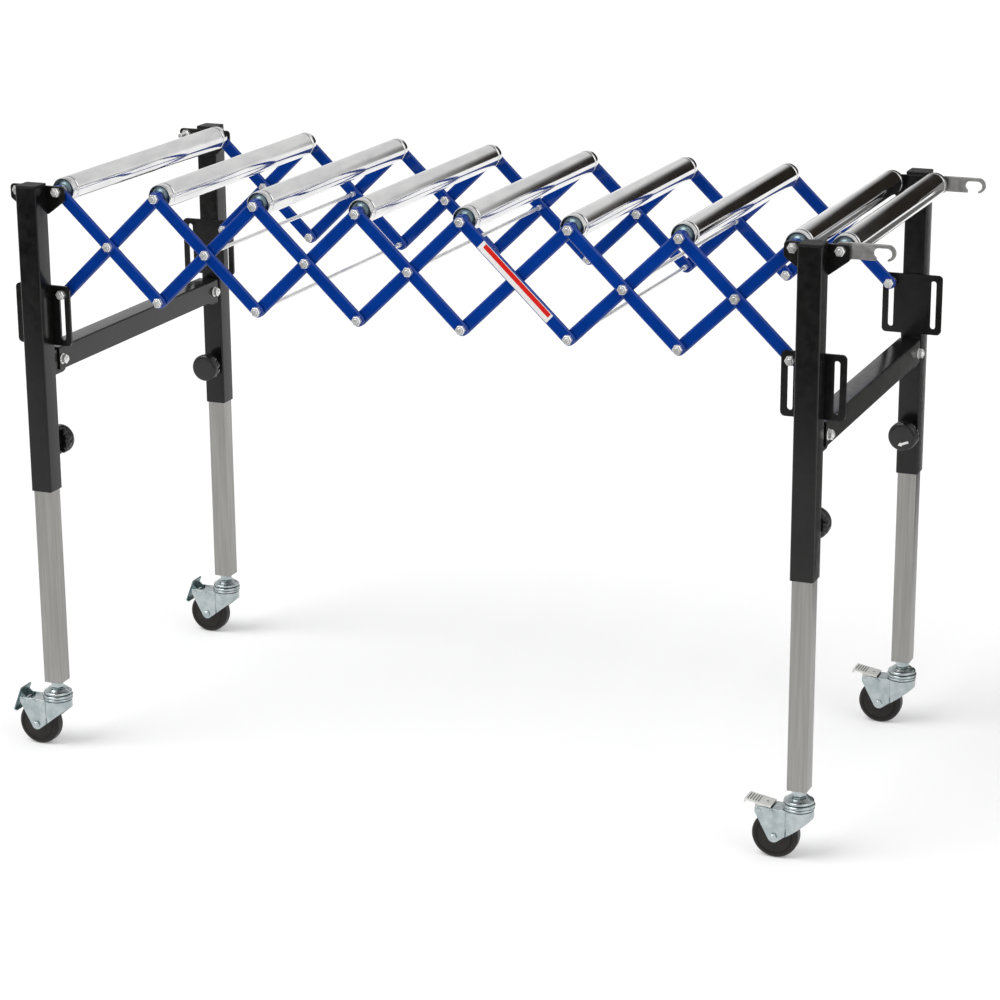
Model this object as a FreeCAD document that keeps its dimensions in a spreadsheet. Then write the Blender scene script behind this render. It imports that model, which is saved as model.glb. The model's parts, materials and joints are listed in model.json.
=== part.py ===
import FreeCAD, Part
import os
import re
import Sketcher

# Flexible roller conveyor: two stands on braked swivel casters, joined by a folding scissor frame.
# The top pivots of the scissor frame carry a row of steel rollers. The frame is drawn fully out.
# +X runs along the conveyor, +Y from the front side to the back side, +Z up, in millimetres.
# The origin lies on the floor below the middle of the whole conveyor.

CELLS = 7
TIE_ROD_CENTRES = (2, 4, 6)
TIE_ROD_BOTTOMS = (2, 5)
LABELLED_CELL = 5
FLUTES = 10
PEDAL_RIBS = 5
HEX_SIDES = 6
X_AXIS = FreeCAD.Vector(1, 0, 0)
Y_AXIS = FreeCAD.Vector(0, 1, 0)
Z_AXIS = FreeCAD.Vector(0, 0, 1)
QUARTER_TURN = "90"
BACK_QUARTER_TURN = "-90"
HALF_TURN = "180"

# Driving sizes, each with its meaning, kept in the sheet
SIZES = [
    ("pitch", 166, "distance from roller to roller, frame drawn out"),
    ("folded_pitch", 42.5, "distance from roller to roller, frame pushed together"),
    ("bar_reach", 230, "scissor bar, top pivot to bottom pivot"),
    ("bar_width", 20, "scissor bar width"),
    ("bar_thick", 6, "scissor bar thickness"),
    ("bar_edge", 1.6, "bevel along the scissor bar edges"),
    ("layer_gap", 1, "gap between layers of bars and plates"),
    ("pivot_height", 896, "height of the roller axles above the floor"),
    ("pivot_rod", 8, "diameter of pivot bolts and roller axles"),
    ("pivot_fit", 0.1, "radial play of a pivot bolt in its bar"),
    ("open_fit", 0.25, "radial play at the bottom pivots"),
    ("side_play", 0.3, "play beside a turning piece"),
    ("tie_rod", 6, "diameter of the cross rods between their shoulders"),
    ("tie_shoulder", 8, "length of a cross rod shoulder inside the bars"),
    ("nut_width", 13, "width across flats of nuts and bolt heads"),
    ("nut_height", 6.5, "height of nuts and bolt heads"),
    ("rod_end", 2, "bolt end that stands out of its nut"),
    ("sleeve_diameter", 15, "diameter of spacer sleeves and washers"),
    ("roller_diameter", 38, "roller tube diameter"),
    ("roller_wall", 1.5, "roller tube wall"),
    ("roller_length", 505, "roller tube length"),
    ("roller_side_gap", 2.5, "gap from a roller end to the bar beside it"),
    ("crimp_inset", 14, "roller end to the middle of its crimped ring"),
    ("crimp_width", 4, "width of the crimped ring"),
    ("crimp_depth", 0.8, "depth of the crimped ring"),
    ("cup_thick", 1.5, "sheet of the roller end cup"),
    ("cup_depth", 10, "depth of the roller end cup skirt"),
    ("cup_inset", 1, "roller end to the face of its cup"),
    ("cup_hub", 9, "radius of the cup hub"),
    ("cup_dish", 3, "depth of the dished ring of the cup"),
    ("post_width", 35, "outer square tube"),
    ("post_wall", 2, "outer square tube wall"),
    ("post_corner", 3, "corner radius of the outer tube"),
    ("post_rise", 10, "roller axles to the top of the outer tube"),
    ("post_length", 478.5, "outer tube length"),
    ("cap_height", 3.5, "plastic cap above the tube"),
    ("cap_edge", 1.5, "bevel of the cap top"),
    ("plug_depth", 14, "plug of the cap inside the tube"),
    ("plug_fit", 0.25, "play of the plug"),
    ("plate_thick", 4, "bracket and slot plate thickness"),
    ("wing_reach", 33.5, "post centre to the pivot holes in the wings"),
    ("wing_margin", 13.5, "pivot hole to the side of its plate"),
    ("bracket_rise", 9, "pivot hole to the top of the bracket"),
    ("bracket_side", 22, "straight side of the bracket wing"),
    ("bracket_height", 44, "bracket height behind the post"),
    ("bracket_corner", 6, "corner radius of the bracket"),
    ("slot_fit", 0.3, "play of a bolt in its slot"),
    ("slot_margin", 9, "slot end to the edge of its plate"),
    ("slot_plate_corner", 7, "corner radius of the slot plate"),
    ("rail_height", 36, "cross rail height"),
    ("rail_wall", 2.5, "cross rail sheet"),
    ("rail_bend", 3, "outer bend radius of the cross rail"),
    ("rail_drop", 6.4, "slot plate to the top of the cross rail"),
    ("rail_gap", 12, "post face to the rail end"),
    ("rail_bolt_inset", 9, "rail end to its bolt"),
    ("rail_bolt_drop", 20, "rail top to its bolt"),
    ("lug_sheet", 3, "sheet of the lug that carries the rail"),
    ("lug_fit", 0.3, "play between lug and rail"),
    ("lug_length", 36, "lug length from the post face"),
    ("lug_drop", 6, "lug below the rail"),
    ("lug_round", 12, "rounding of the lug corner"),
    ("leg_width", 30, "inner square tube"),
    ("leg_wall", 1.5, "inner square tube wall"),
    ("leg_corner", 2, "corner radius of the inner tube"),
    ("leg_bottom", 109.5, "bottom of the inner tube"),
    ("leg_top", 600, "top of the inner tube inside the outer one"),
    ("foot_thick", 5, "plug in the bottom of the inner tube"),
    ("knob_rise", 69.5, "bottom of the outer tube to the clamp knob"),
    ("knob_diameter", 46, "clamp knob diameter"),
    ("knob_depth", 20, "clamp knob depth in front of its boss"),
    ("knob_skirt", 11, "fluted length of the knob"),
    ("knob_hub", 14, "radius of the knob hub"),
    ("knob_crown", 3, "rounding of the knob face"),
    ("knob_boss", 9, "radius of the boss behind the knob"),
    ("knob_boss_length", 8, "length of the boss behind the knob"),
    ("knob_gap", 4, "knob boss to its nut"),
    ("flute_radius", 4, "radius of the knob flutes"),
    ("clamp_screw", 8, "clamp screw diameter"),
    ("clamp_hold", 18, "clamp screw inside the knob"),
    ("clamp_nut", 5, "thickness of the welded clamp nut"),
    ("clamp_tip_gap", 0.4, "clamp screw tip to the inner tube"),
    ("wheel_diameter", 70, "caster wheel"),
    ("wheel_width", 22, "caster wheel tread"),
    ("wheel_edge", 6, "rounding of the tread shoulders"),
    ("hub_radius", 12, "wheel hub"),
    ("hub_over", 1.5, "hub beyond the tread on each side"),
    ("trail", 33, "swivel axis to wheel axle"),
    ("fork_play", 0.7, "wheel hub to fork"),
    ("fork_sheet", 2.5, "fork sheet"),
    ("fork_top", 78, "top of the fork"),
    ("fork_back", 62, "swivel axis to the rear corner of the fork"),
    ("fork_rear", 8, "height of the rear edge of the fork"),
    ("fork_foot", 9, "fork around the wheel axle"),
    ("fork_hood", 12, "height of the fork below the swivel head"),
    ("fork_opening", 40, "swivel axis to the opening above the wheel"),
    ("race_diameter", 48, "swivel head"),
    ("race_edge", 3, "bevel of the swivel rings"),
    ("race_height", 10, "height of each swivel ring"),
    ("king_pin", 10, "swivel pin"),
    ("king_head", 16, "head of the swivel pin"),
    ("king_head_height", 2.5, "height of the swivel pin head"),
    ("stem", 12, "caster stem"),
    ("stem_nut_width", 19, "nut below the inner tube"),
    ("axle_head", 3.5, "head of the wheel axle"),
    ("pedal_back", 56, "swivel axis to the pedal pin"),
    ("pedal_drop", 4.5, "fork top to the pedal pin"),
    ("pedal_pin", 5, "pedal pin diameter"),
    ("stop_gap", 20, "pedal pin to the stop pin"),
    ("pedal_tip", 24, "pedal pin to the pedal tip"),
    ("pedal_heel", 17, "pedal pin to the pedal heel"),
    ("pedal_lift", 8.5, "pedal pin to the underside of the pedal"),
    ("pedal_sheet", 2, "pedal sheet"),
    ("pedal_lip", 4, "turned-down lip of the pedal tip"),
    ("pedal_ear", 5, "pedal ear around its pin"),
    ("rib_height", 0.8, "height of the pedal ribs"),
    ("rib_width", 1.6, "width of the pedal ribs"),
    ("rib_step", 4, "distance from rib to rib"),
    ("pedal_raised", 10, "degrees that a raised pedal points up"),
    ("pedal_pressed", 69, "degrees that a pressed pedal points down"),
    ("hook_height", 23, "coupling hook height"),
    ("hook_thick", 5, "coupling hook plate"),
    ("hook_reach", 64.1, "hook pivot to the middle of its round end"),
    ("hook_claw", 5.1, "claw around the end of the mouth"),
    ("hook_sag", 1.05, "middle of the mouth below the pivot"),
    ("mouth_radius", 7.4, "radius of the mouth ends"),
    ("mouth_length", 26, "length of the mouth"),
    ("mouth_opening", 16.3, "width of the way into the mouth"),
    ("hook_tip", 11, "hook end to the tip of its claw"),
    ("stud_reach", 25, "coupling stud inside the bracket"),
    ("stud_pin", 7.6, "diameter of the stud's plain end"),
]

# Sizes that follow from the driving ones
DERIVED = {
    "rise": "sqrt(bar_reach * bar_reach - pitch * pitch)",
    "folded_rise": "sqrt(bar_reach * bar_reach - folded_pitch * folded_pitch)",
    "lean": "acos(pitch / bar_reach)",
    "bottom_height": "pivot_height - rise",
    "bore_radius": "pivot_rod / 2 + pivot_fit",
    "hex_corner": "nut_width / sqrt(3)",
    "roller_face": "roller_length / 2",
    "inner_near": "roller_face + roller_side_gap",
    "inner_far": "inner_near + bar_thick",
    "outer_near": "inner_far + layer_gap",
    "outer_far": "outer_near + bar_thick",
    "plate_near": "outer_far + layer_gap",
    "plate_far": "plate_near + plate_thick",
    "post_half": "post_width / 2",
    "post_y": "plate_far + post_half",
    "post_x": f"{CELLS} / 2 * pitch + wing_reach",
    "wing_half": "wing_reach + wing_margin",
    "hook_end": "wing_reach + hook_reach + hook_half",
    "pedal_crown": "pedal_lift + pedal_sheet + rib_height",
    "caster_end": "pedal_back + pedal_tip * cos(pedal_pressed) + pedal_crown * sin(pedal_pressed)",
    "middle": "(hook_end - caster_end) / 2",
    "left_x": "0 - post_x - middle",
    "right_x": "post_x - middle",
    "first_x": "left_x + wing_reach",
    "post_top": "pivot_height + post_rise",
    "post_bottom": "post_top - post_length",
    "bracket_top": "pivot_height + bracket_rise",
    "slot_radius": "pivot_rod / 2 + slot_fit",
    "slot_high": "bottom_height + slot_fit",
    "slot_low": "pivot_height - folded_rise - slot_fit",
    "slot_plate_top": "slot_high + slot_radius + slot_margin",
    "slot_plate_bottom": "slot_low - slot_radius - slot_margin",
    "rail_half": "plate_far - rail_gap",
    "rail_top": "slot_plate_bottom - rail_drop",
    "rail_bottom": "rail_top - rail_height",
    "rail_bolt_height": "rail_top - rail_bolt_drop",
    "rail_inside": "post_half - rail_wall",
    "lug_half": "rail_inside - lug_fit",
    "lug_end": "post_half + lug_length",
    "lug_top": "rail_top - rail_wall - lug_fit",
    "lug_bottom": "rail_bottom - lug_drop",
    "knob_height": "post_bottom + knob_rise",
    "knob_near": "post_half + clamp_nut + knob_gap",
    "knob_back": "knob_near + knob_boss_length",
    "knob_far": "knob_back + knob_depth",
    "knob_radius": "knob_diameter / 2",
    "screw_radius": "clamp_screw / 2",
    "screw_start": "leg_width / 2 + clamp_tip_gap",
    "wheel_radius": "wheel_diameter / 2",
    "hub_half": "wheel_width / 2 + hub_over",
    "fork_inner": "hub_half + fork_play",
    "fork_half": "fork_inner + fork_sheet",
    "race_radius": "race_diameter / 2",
    "race_split": "fork_top + race_height",
    "race_top": "race_split + side_play + race_height",
    "foot_low": "wheel_radius - fork_foot",
    "pedal_height": "fork_top - pedal_drop",
    "pin_radius": "pedal_pin / 2",
    "ear_far": "fork_inner - side_play",
    "ear_near": "ear_far - pedal_sheet",
    "hook_half": "hook_height / 2",
    "mouth_end": "hook_reach + hook_half - hook_claw - mouth_radius",
    "mouth_start": "mouth_end - mouth_length + mouth_radius * 2",
    "claw_tip": "hook_reach + hook_half - hook_tip",
    "stud_thread": "plate_thick + nut_height + rod_end",
}

DRIVING = [name for name, value, meaning in SIZES]

doc = FreeCAD.newDocument("roller_conveyor")
sheet = doc.addObject("Spreadsheet::Sheet", "Sizes")
for row, (name, value, meaning) in enumerate(SIZES, 1):
    sheet.set(f"A{row}", meaning)
    sheet.set(f"B{row}", str(value))
    sheet.setAlias(f"B{row}", name)
doc.recompute()

nodes = []


def sized(text):
    """The expression with every size name replaced by its sheet cell."""

    def swap(match):
        word = match.group()
        if word in DERIVED:
            return "(" + sized(DERIVED[word]) + ")"
        if word in DRIVING:
            return "Sizes." + word
        return word

    return re.sub(r"[a-z][a-z_]*", swap, text)


def number(text):
    """What an expression of sizes comes to."""
    value = sheet.evalExpression(sized(text))
    return float(getattr(value, "Value", value))


def new_body(label):
    body = doc.addObject("PartDesign::Body", label)
    body.Label = label
    return body


def origin_part(body, role):
    return [part for part in body.Origin.OriginFeatures if part.Role == role][0]


def new_sketch(body, role, height="0"):
    """A sketch on one of the body's own planes, moved along the plane's normal."""
    sketch = body.newObject("Sketcher::SketchObject", body.Label + "_sketch")
    sketch.AttachmentSupport = [(origin_part(body, role), "")]
    sketch.MapMode = "FlatFace"
    sketch.setExpression("AttachmentOffset.Base.z", sized(height))
    return sketch


def pin_point(sketch, shape, end, x, y):
    """Tie a point of the sketch to its two coordinates."""
    for kind, text, axis in (("DistanceX", x, -2), ("DistanceY", y, -1)):
        if text == "0":
            sketch.addConstraint(Sketcher.Constraint("PointOnObject", shape, end, axis))
        else:
            rule = Sketcher.Constraint(kind, -1, 1, shape, end, number(text))
            index = sketch.addConstraint(rule)
            sketch.setExpression(f"Constraints[{index}]", sized(text))


def set_radius(sketch, shape, radius):
    index = sketch.addConstraint(Sketcher.Constraint("Radius", shape, number(radius)))
    sketch.setExpression(f"Constraints[{index}]", sized(radius))


def draw_outline(sketch, points):
    """A closed outline of straight lines through the points."""
    first = sketch.GeometryCount
    spots = [FreeCAD.Vector(number(x), number(y), 0) for x, y in points]
    count = len(points)
    for index in range(count):
        sketch.addGeometry(Part.LineSegment(spots[index], spots[(index + 1) % count]))
    for index in range(count):
        following = first + (index + 1) % count
        sketch.addConstraint(Sketcher.Constraint("Coincident", first + index, 2, following, 1))
    for index, (x, y) in enumerate(points):
        pin_point(sketch, first + index, 1, x, y)


def draw_circle(sketch, x, y, radius):
    centre = FreeCAD.Vector(number(x), number(y), 0)
    shape = sketch.addGeometry(Part.Circle(centre, Z_AXIS, number(radius)))
    pin_point(sketch, shape, 3, x, y)
    set_radius(sketch, shape, radius)


def draw_slot(sketch, start, end, radius, upright=False):
    """A slot with round ends, along the sketch's first axis or upright along its second."""
    reach = number(radius)
    quarter = number(QUARTER_TURN)
    a = FreeCAD.Vector(number(start[0]), number(start[1]), 0)
    b = FreeCAD.Vector(number(end[0]), number(end[1]), 0)
    side = FreeCAD.Vector(reach, 0, 0) if upright else FreeCAD.Vector(0, -reach, 0)
    turn = 0 if upright else -quarter
    first_turn = Part.Circle(a, Z_AXIS, reach)
    second_turn = Part.Circle(b, Z_AXIS, reach)
    radians = FreeCAD.Units.Quantity("1 deg").getValueAs("rad").Value
    begin = (turn + 2 * quarter) * radians
    finish = (turn + 4 * quarter) * radians
    near = sketch.addGeometry(Part.ArcOfCircle(first_turn, begin, finish))
    low = sketch.addGeometry(Part.LineSegment(a + side, b + side))
    far = sketch.addGeometry(Part.ArcOfCircle(second_turn, turn * radians, begin))
    high = sketch.addGeometry(Part.LineSegment(b - side, a - side))
    for one, other in ((near, low), (low, far), (far, high), (high, near)):
        sketch.addConstraint(Sketcher.Constraint("Tangent", one, 2, other, 1))
    pin_point(sketch, near, 3, *start)
    pin_point(sketch, far, 3, *end)
    set_radius(sketch, near, radius)


def add_pad(body, sketch, length):
    pad = body.newObject("PartDesign::Pad", body.Label + "_pad")
    pad.Profile = sketch
    pad.setExpression("Length", sized(length))
    doc.recompute()
    return pad


def add_cut(body, sketch, depth=None):
    """A cut against the sketch's normal, right through when no depth is given."""
    before = body.Shape.Volume
    cut = body.newObject("PartDesign::Pocket", body.Label + "_cut")
    cut.Profile = sketch
    if depth is None:
        cut.Type = "ThroughAll"
    else:
        cut.setExpression("Length", sized(depth))
    doc.recompute()
    if body.Shape.Volume >= before:
        raise ValueError(f"a cut in {body.Label} removes nothing")
    return cut


def add_turning(body, sketch):
    """The sketch turned once around its upright axis."""
    turning = body.newObject("PartDesign::Revolution", body.Label + "_turning")
    turning.Profile = sketch
    turning.ReferenceAxis = (sketch, ["V_Axis"])
    doc.recompute()
    return turning


def edges_where(body, test):
    names = []
    for index, edge in enumerate(body.Shape.Edges, 1):
        if test(edge):
            names.append(f"Edge{index}")
    return names


def runs_along(edge, axis):
    ends = edge.Vertexes
    if len(ends) < 2:
        return False
    way = ends[1].Point - ends[0].Point
    return way.cross(axis).Length < Part.Precision.confusion() * way.Length


def add_round(body, test, radius):
    base = body.Tip
    rounding = body.newObject("PartDesign::Fillet", body.Label + "_round")
    rounding.Base = (base, edges_where(body, test))
    rounding.setExpression("Radius", sized(radius))
    doc.recompute()


def add_bevel(body, test, size):
    base = body.Tip
    bevel = body.newObject("PartDesign::Chamfer", body.Label + "_bevel")
    bevel.Base = (base, edges_where(body, test))
    bevel.setExpression("Size", sized(size))
    doc.recompute()


def near(value, text):
    """True where a measured value is the given size."""
    return abs(value - number(text)) < number("side_play")


def square(half):
    minus = f"0 - ({half})"
    return [(minus, minus), (half, minus), (half, half), (minus, half)]


def primitive(kind, label, **sizes):
    piece = doc.addObject(kind, label)
    for key, text in sizes.items():
        piece.setExpression(key, sized(text))
    return piece


def hexagon(label, width, height, start="0"):
    block = primitive("Part::Prism", label, Circumradius=f"{width} / sqrt(3)", Height=height)
    block.Polygon = HEX_SIDES
    block.setExpression("Placement.Base.z", sized(start))
    return block


def rod(label, radius, length, start="0"):
    shank = primitive("Part::Cylinder", label, Radius=radius, Height=length)
    shank.setExpression("Placement.Base.z", sized(start))
    return shank


def joined(label, pieces):
    whole = doc.addObject("Part::MultiFuse", label)
    whole.Shapes = pieces
    doc.recompute()
    return whole


def drilled(label, block, hole):
    piece = doc.addObject("Part::Cut", label)
    piece.Base = block
    piece.Tool = hole
    doc.recompute()
    return piece


def hex_bolt(label, grip):
    """A bolt along +Z with its head below the origin."""
    head = hexagon(label + "_head", "nut_width", "nut_height", "0 - nut_height")
    shank = rod(label + "_shank", "pivot_rod / 2", f"{grip} + nut_height / 2", "0 - nut_height / 2")
    return joined(label, [head, shank])


def hex_nut(label, width, height, bore):
    block = hexagon(label + "_block", width, height)
    hole = rod(label + "_hole", bore, f"({height}) * 2", f"0 - ({height}) / 2")
    return drilled(label, block, hole)


def ring(label, radius, bore, length):
    block = rod(label + "_block", radius, length)
    hole = rod(label + "_hole", bore, f"({length}) * 2", f"0 - ({length}) / 2")
    return drilled(label, block, hole)


def place(source, x="0", y="0", z="0", axis=Z_AXIS, angle="0"):
    """One more of a piece, moved to its place and turned about an axis."""
    copy = doc.addObject("App::Link", source.Name + "_copy")
    copy.LinkedObject = source
    copy.Placement = FreeCAD.Placement(FreeCAD.Vector(), FreeCAD.Rotation(axis, number(angle)))
    if angle != "0":
        copy.setExpression("Placement.Rotation.Angle", sized(angle))
    for part, text in (("x", x), ("y", y), ("z", z)):
        copy.setExpression("Placement.Base." + part, sized(text))
    return copy


def make_node(label, pieces):
    group = doc.addObject("Part::Compound", label)
    group.Label = label
    group.Links = pieces
    nodes.append(group)


# Nuts, bolts, sleeves and axles of the scissor frame, each along +Z
nut = hex_nut("nut", "nut_width", "nut_height", "pivot_rod / 2")
axle_over_bars = hex_bolt("axle_over_bars", "outer_far * 2 + side_play + nut_height + rod_end")
axle_over_plates = hex_bolt("axle_over_plates", "plate_far * 2 + side_play * 2 + nut_height + rod_end")
cross_bolt = hex_bolt("cross_bolt", "outer_far - inner_near + side_play + nut_height + rod_end")
slot_bolt_inner = hex_bolt("slot_bolt_inner", "plate_far - inner_near + side_play + nut_height + rod_end")
slot_bolt_outer = hex_bolt("slot_bolt_outer", "plate_far - outer_near + side_play + nut_height + rod_end")
rail_bolt = hex_bolt("rail_bolt", "post_width + nut_height + rod_end")
flush_bolt = hex_bolt("flush_bolt", "outer_far - inner_near + side_play")
stud_bolt = hex_bolt("stud_bolt", "stud_thread")
stud_end = rod("stud_end", "stud_pin / 2", "plate_thick + stud_reach")
coupling_stud = joined("coupling_stud", [stud_bolt, stud_end])
washer = ring("washer", "sleeve_diameter / 2", "bore_radius", "roller_side_gap - side_play * 2")
inner_sleeve = ring(
    "inner_sleeve", "sleeve_diameter / 2", "bore_radius", "outer_near - roller_face - side_play * 2"
)
outer_sleeve = ring(
    "outer_sleeve", "sleeve_diameter / 2", "bore_radius", "plate_near - inner_far - side_play"
)
tie_middle = rod("tie_middle", "tie_rod / 2", "inner_near * 2", "0 - inner_near")
tie_reach = "outer_far - inner_near + tie_shoulder + nut_height + rod_end"
tie_front = rod("tie_front", "pivot_rod / 2", tie_reach, "0 - outer_far - nut_height - rod_end")
tie_back = rod("tie_back", "pivot_rod / 2", tie_reach, "inner_near - tie_shoulder")
cross_rod = joined("cross_rod", [tie_middle, tie_front, tie_back])

# Scissor bar: a flat steel bar with round ends, bevelled edges and three pivot holes


def scissor_bar(label, first_bore):
    body = new_body(label)
    sketch = new_sketch(body, "XZ_Plane", "0 - bar_thick")
    draw_slot(sketch, ("0", "0"), ("bar_reach", "0"), "bar_width / 2")
    add_pad(body, sketch, "bar_thick")
    add_bevel(body, lambda edge: not runs_along(edge, Y_AXIS), "bar_edge")
    holes = new_sketch(body, "XZ_Plane")
    draw_circle(holes, "0", "0", first_bore)
    draw_circle(holes, "bar_reach / 2", "0", "bore_radius")
    draw_circle(holes, "bar_reach", "0", "bore_radius")
    add_cut(body, holes)
    return body


falling_bar = scissor_bar("falling_bar", "bore_radius")
rising_bar = scissor_bar("rising_bar", "pivot_rod / 2 + open_fit")

# Outer post: square tube with a hole for the clamp screw on its inner side

post_tube = new_body("post_tube")
section = new_sketch(post_tube, "XY_Plane", "post_bottom")
draw_outline(section, square("post_half"))
add_pad(post_tube, section, "post_top - post_bottom")
add_round(post_tube, lambda edge: runs_along(edge, Z_AXIS), "post_corner")
inside = new_sketch(post_tube, "XY_Plane", "post_top")
draw_outline(inside, square("post_half - post_wall"))
add_cut(post_tube, inside)
screw_hole = new_sketch(post_tube, "XZ_Plane")
draw_circle(screw_hole, "0", "knob_height", "screw_radius + side_play")
add_cut(post_tube, screw_hole)

# Plastic cap with a plug inside the tube

post_cap = new_body("post_cap")
crown = new_sketch(post_cap, "XY_Plane", "post_top")
draw_outline(crown, square("post_half"))
add_pad(post_cap, crown, "cap_height")
add_round(post_cap, lambda edge: runs_along(edge, Z_AXIS), "post_corner")
cap_top = "post_top + cap_height"
add_bevel(post_cap, lambda edge: near(edge.BoundBox.ZMin, cap_top), "cap_edge")
plug = new_sketch(post_cap, "XY_Plane", "post_top - plug_depth")
draw_outline(plug, square("post_half - post_wall - plug_fit"))
add_pad(post_cap, plug, "plug_depth")

# Welded nut for the clamp screw, and the folded lug that carries the cross rail

clamp_nut = hex_nut("clamp_nut", "nut_width", "clamp_nut", "screw_radius + pivot_fit")

rail_lug = new_body("rail_lug")
fold = new_sketch(rail_lug, "XY_Plane", "lug_bottom")
draw_outline(
    fold,
    [
        ("0 - lug_half", "post_half"),
        ("lug_half", "post_half"),
        ("lug_half", "lug_end"),
        ("lug_half - lug_sheet", "lug_end"),
        ("lug_half - lug_sheet", "post_half + lug_sheet"),
        ("lug_sheet - lug_half", "post_half + lug_sheet"),
        ("lug_sheet - lug_half", "lug_end"),
        ("0 - lug_half", "lug_end"),
    ],
)
add_pad(rail_lug, fold, "lug_top - lug_bottom")
add_round(
    rail_lug,
    lambda edge: runs_along(edge, X_AXIS)
    and near(edge.BoundBox.ZMin, "lug_bottom")
    and near(edge.BoundBox.YMax, "lug_end"),
    "lug_round",
)
lug_hole = new_sketch(rail_lug, "YZ_Plane", "post_half")
draw_circle(lug_hole, "post_half + rail_gap + rail_bolt_inset", "rail_bolt_height", "bore_radius")
add_cut(rail_lug, lug_hole)

# Top bracket: a flat plate with two wings that taper down to the post

top_bracket = new_body("top_bracket")
shield = new_sketch(top_bracket, "XZ_Plane", "0 - post_half")
draw_outline(
    shield,
    [
        ("0 - wing_half", "bracket_top"),
        ("0 - wing_half", "bracket_top - bracket_side"),
        ("0 - post_half", "bracket_top - bracket_height"),
        ("post_half", "bracket_top - bracket_height"),
        ("wing_half", "bracket_top - bracket_side"),
        ("wing_half", "bracket_top"),
    ],
)
plate_pad = add_pad(top_bracket, shield, "plate_thick")
plate_pad.Reversed = True
doc.recompute()
add_round(
    top_bracket,
    lambda edge: runs_along(edge, Y_AXIS) and edge.BoundBox.XMax ** 2 > number("post_width") ** 2,
    "bracket_corner",
)
wing_holes = new_sketch(top_bracket, "XZ_Plane")
draw_circle(wing_holes, "0 - wing_reach", "pivot_height", "bore_radius")
draw_circle(wing_holes, "wing_reach", "pivot_height", "bore_radius")
add_cut(top_bracket, wing_holes)

# Slot plate: a flat plate with one upright slot in each wing

slot_plate = new_body("slot_plate")
panel = new_sketch(slot_plate, "XZ_Plane", "0 - post_half")
draw_outline(
    panel,
    [
        ("0 - wing_half", "slot_plate_bottom"),
        ("wing_half", "slot_plate_bottom"),
        ("wing_half", "slot_plate_top"),
        ("0 - wing_half", "slot_plate_top"),
    ],
)
panel_pad = add_pad(slot_plate, panel, "plate_thick")
panel_pad.Reversed = True
doc.recompute()
add_round(slot_plate, lambda edge: runs_along(edge, Y_AXIS), "slot_plate_corner")
slots = new_sketch(slot_plate, "XZ_Plane")
for wing in ("0 - wing_reach", "wing_reach"):
    draw_slot(slots, (wing, "slot_low"), (wing, "slot_high"), "slot_radius", upright=True)
add_cut(slot_plate, slots)

# Cross rail: sheet folded to an upside-down channel, bolted to the lugs at both ends

cross_rail = new_body("cross_rail")
channel = new_sketch(cross_rail, "XZ_Plane", "0 - rail_half")
draw_outline(
    channel,
    [
        ("0 - post_half", "rail_bottom"),
        ("0 - rail_inside", "rail_bottom"),
        ("0 - rail_inside", "rail_top - rail_wall"),
        ("rail_inside", "rail_top - rail_wall"),
        ("rail_inside", "rail_bottom"),
        ("post_half", "rail_bottom"),
        ("post_half", "rail_top"),
        ("0 - post_half", "rail_top"),
    ],
)
add_pad(cross_rail, channel, "rail_half * 2")
add_round(
    cross_rail,
    lambda edge: runs_along(edge, Y_AXIS) and near(edge.BoundBox.ZMax, "rail_top"),
    "rail_bend",
)
rail_holes = new_sketch(cross_rail, "YZ_Plane", "post_width")
for bolt_place in ("rail_bolt_inset - rail_half", "rail_half - rail_bolt_inset"):
    draw_circle(rail_holes, bolt_place, "rail_bolt_height", "bore_radius")
add_cut(cross_rail, rail_holes)

# Inner leg: square tube with a foot plug, and the fixed half of the caster swivel below it

leg_tube = new_body("leg_tube")
leg_section = new_sketch(leg_tube, "XY_Plane", "leg_bottom")
draw_outline(leg_section, square("leg_width / 2"))
add_pad(leg_tube, leg_section, "leg_top - leg_bottom")
add_round(leg_tube, lambda edge: runs_along(edge, Z_AXIS), "leg_corner")
leg_inside = new_sketch(leg_tube, "XY_Plane", "leg_top")
draw_outline(leg_inside, square("leg_width / 2 - leg_wall"))
add_cut(leg_tube, leg_inside)

foot_plug = new_body("foot_plug")
foot_outline = new_sketch(foot_plug, "XY_Plane", "leg_bottom")
draw_outline(foot_outline, square("leg_width / 2 - leg_wall"))
add_pad(foot_plug, foot_outline, "foot_thick")

stem_nut = hex_nut("stem_nut", "stem_nut_width", "leg_bottom - race_top", "stem / 2")

upper_race = new_body("upper_race")
upper_profile = new_sketch(upper_race, "XZ_Plane")
draw_outline(
    upper_profile,
    [
        ("stem / 2", "race_split + side_play"),
        ("race_radius - race_edge", "race_split + side_play"),
        ("race_radius - race_edge / 2", "race_split + side_play + race_edge"),
        ("race_radius - race_edge", "race_top - race_edge"),
        ("stem", "race_top"),
        ("stem / 2", "race_top"),
    ],
)
add_turning(upper_race, upper_profile)

king_pin = new_body("king_pin")
pin_profile = new_sketch(king_pin, "XZ_Plane")
pin_low = "fork_top - fork_sheet - side_play"
draw_outline(
    pin_profile,
    [
        ("0", f"{pin_low} - king_head_height"),
        ("king_head / 2", f"{pin_low} - king_head_height"),
        ("king_head / 2", pin_low),
        ("king_pin / 2", pin_low),
        ("king_pin / 2", "race_split + side_play"),
        ("stem / 2", "race_split + side_play"),
        ("stem / 2", "leg_bottom"),
        ("0", "leg_bottom"),
    ],
)
add_turning(king_pin, pin_profile)

# Clamp knob: round face in front of a fluted skirt and a boss, with a plain screw in its hub

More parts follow.
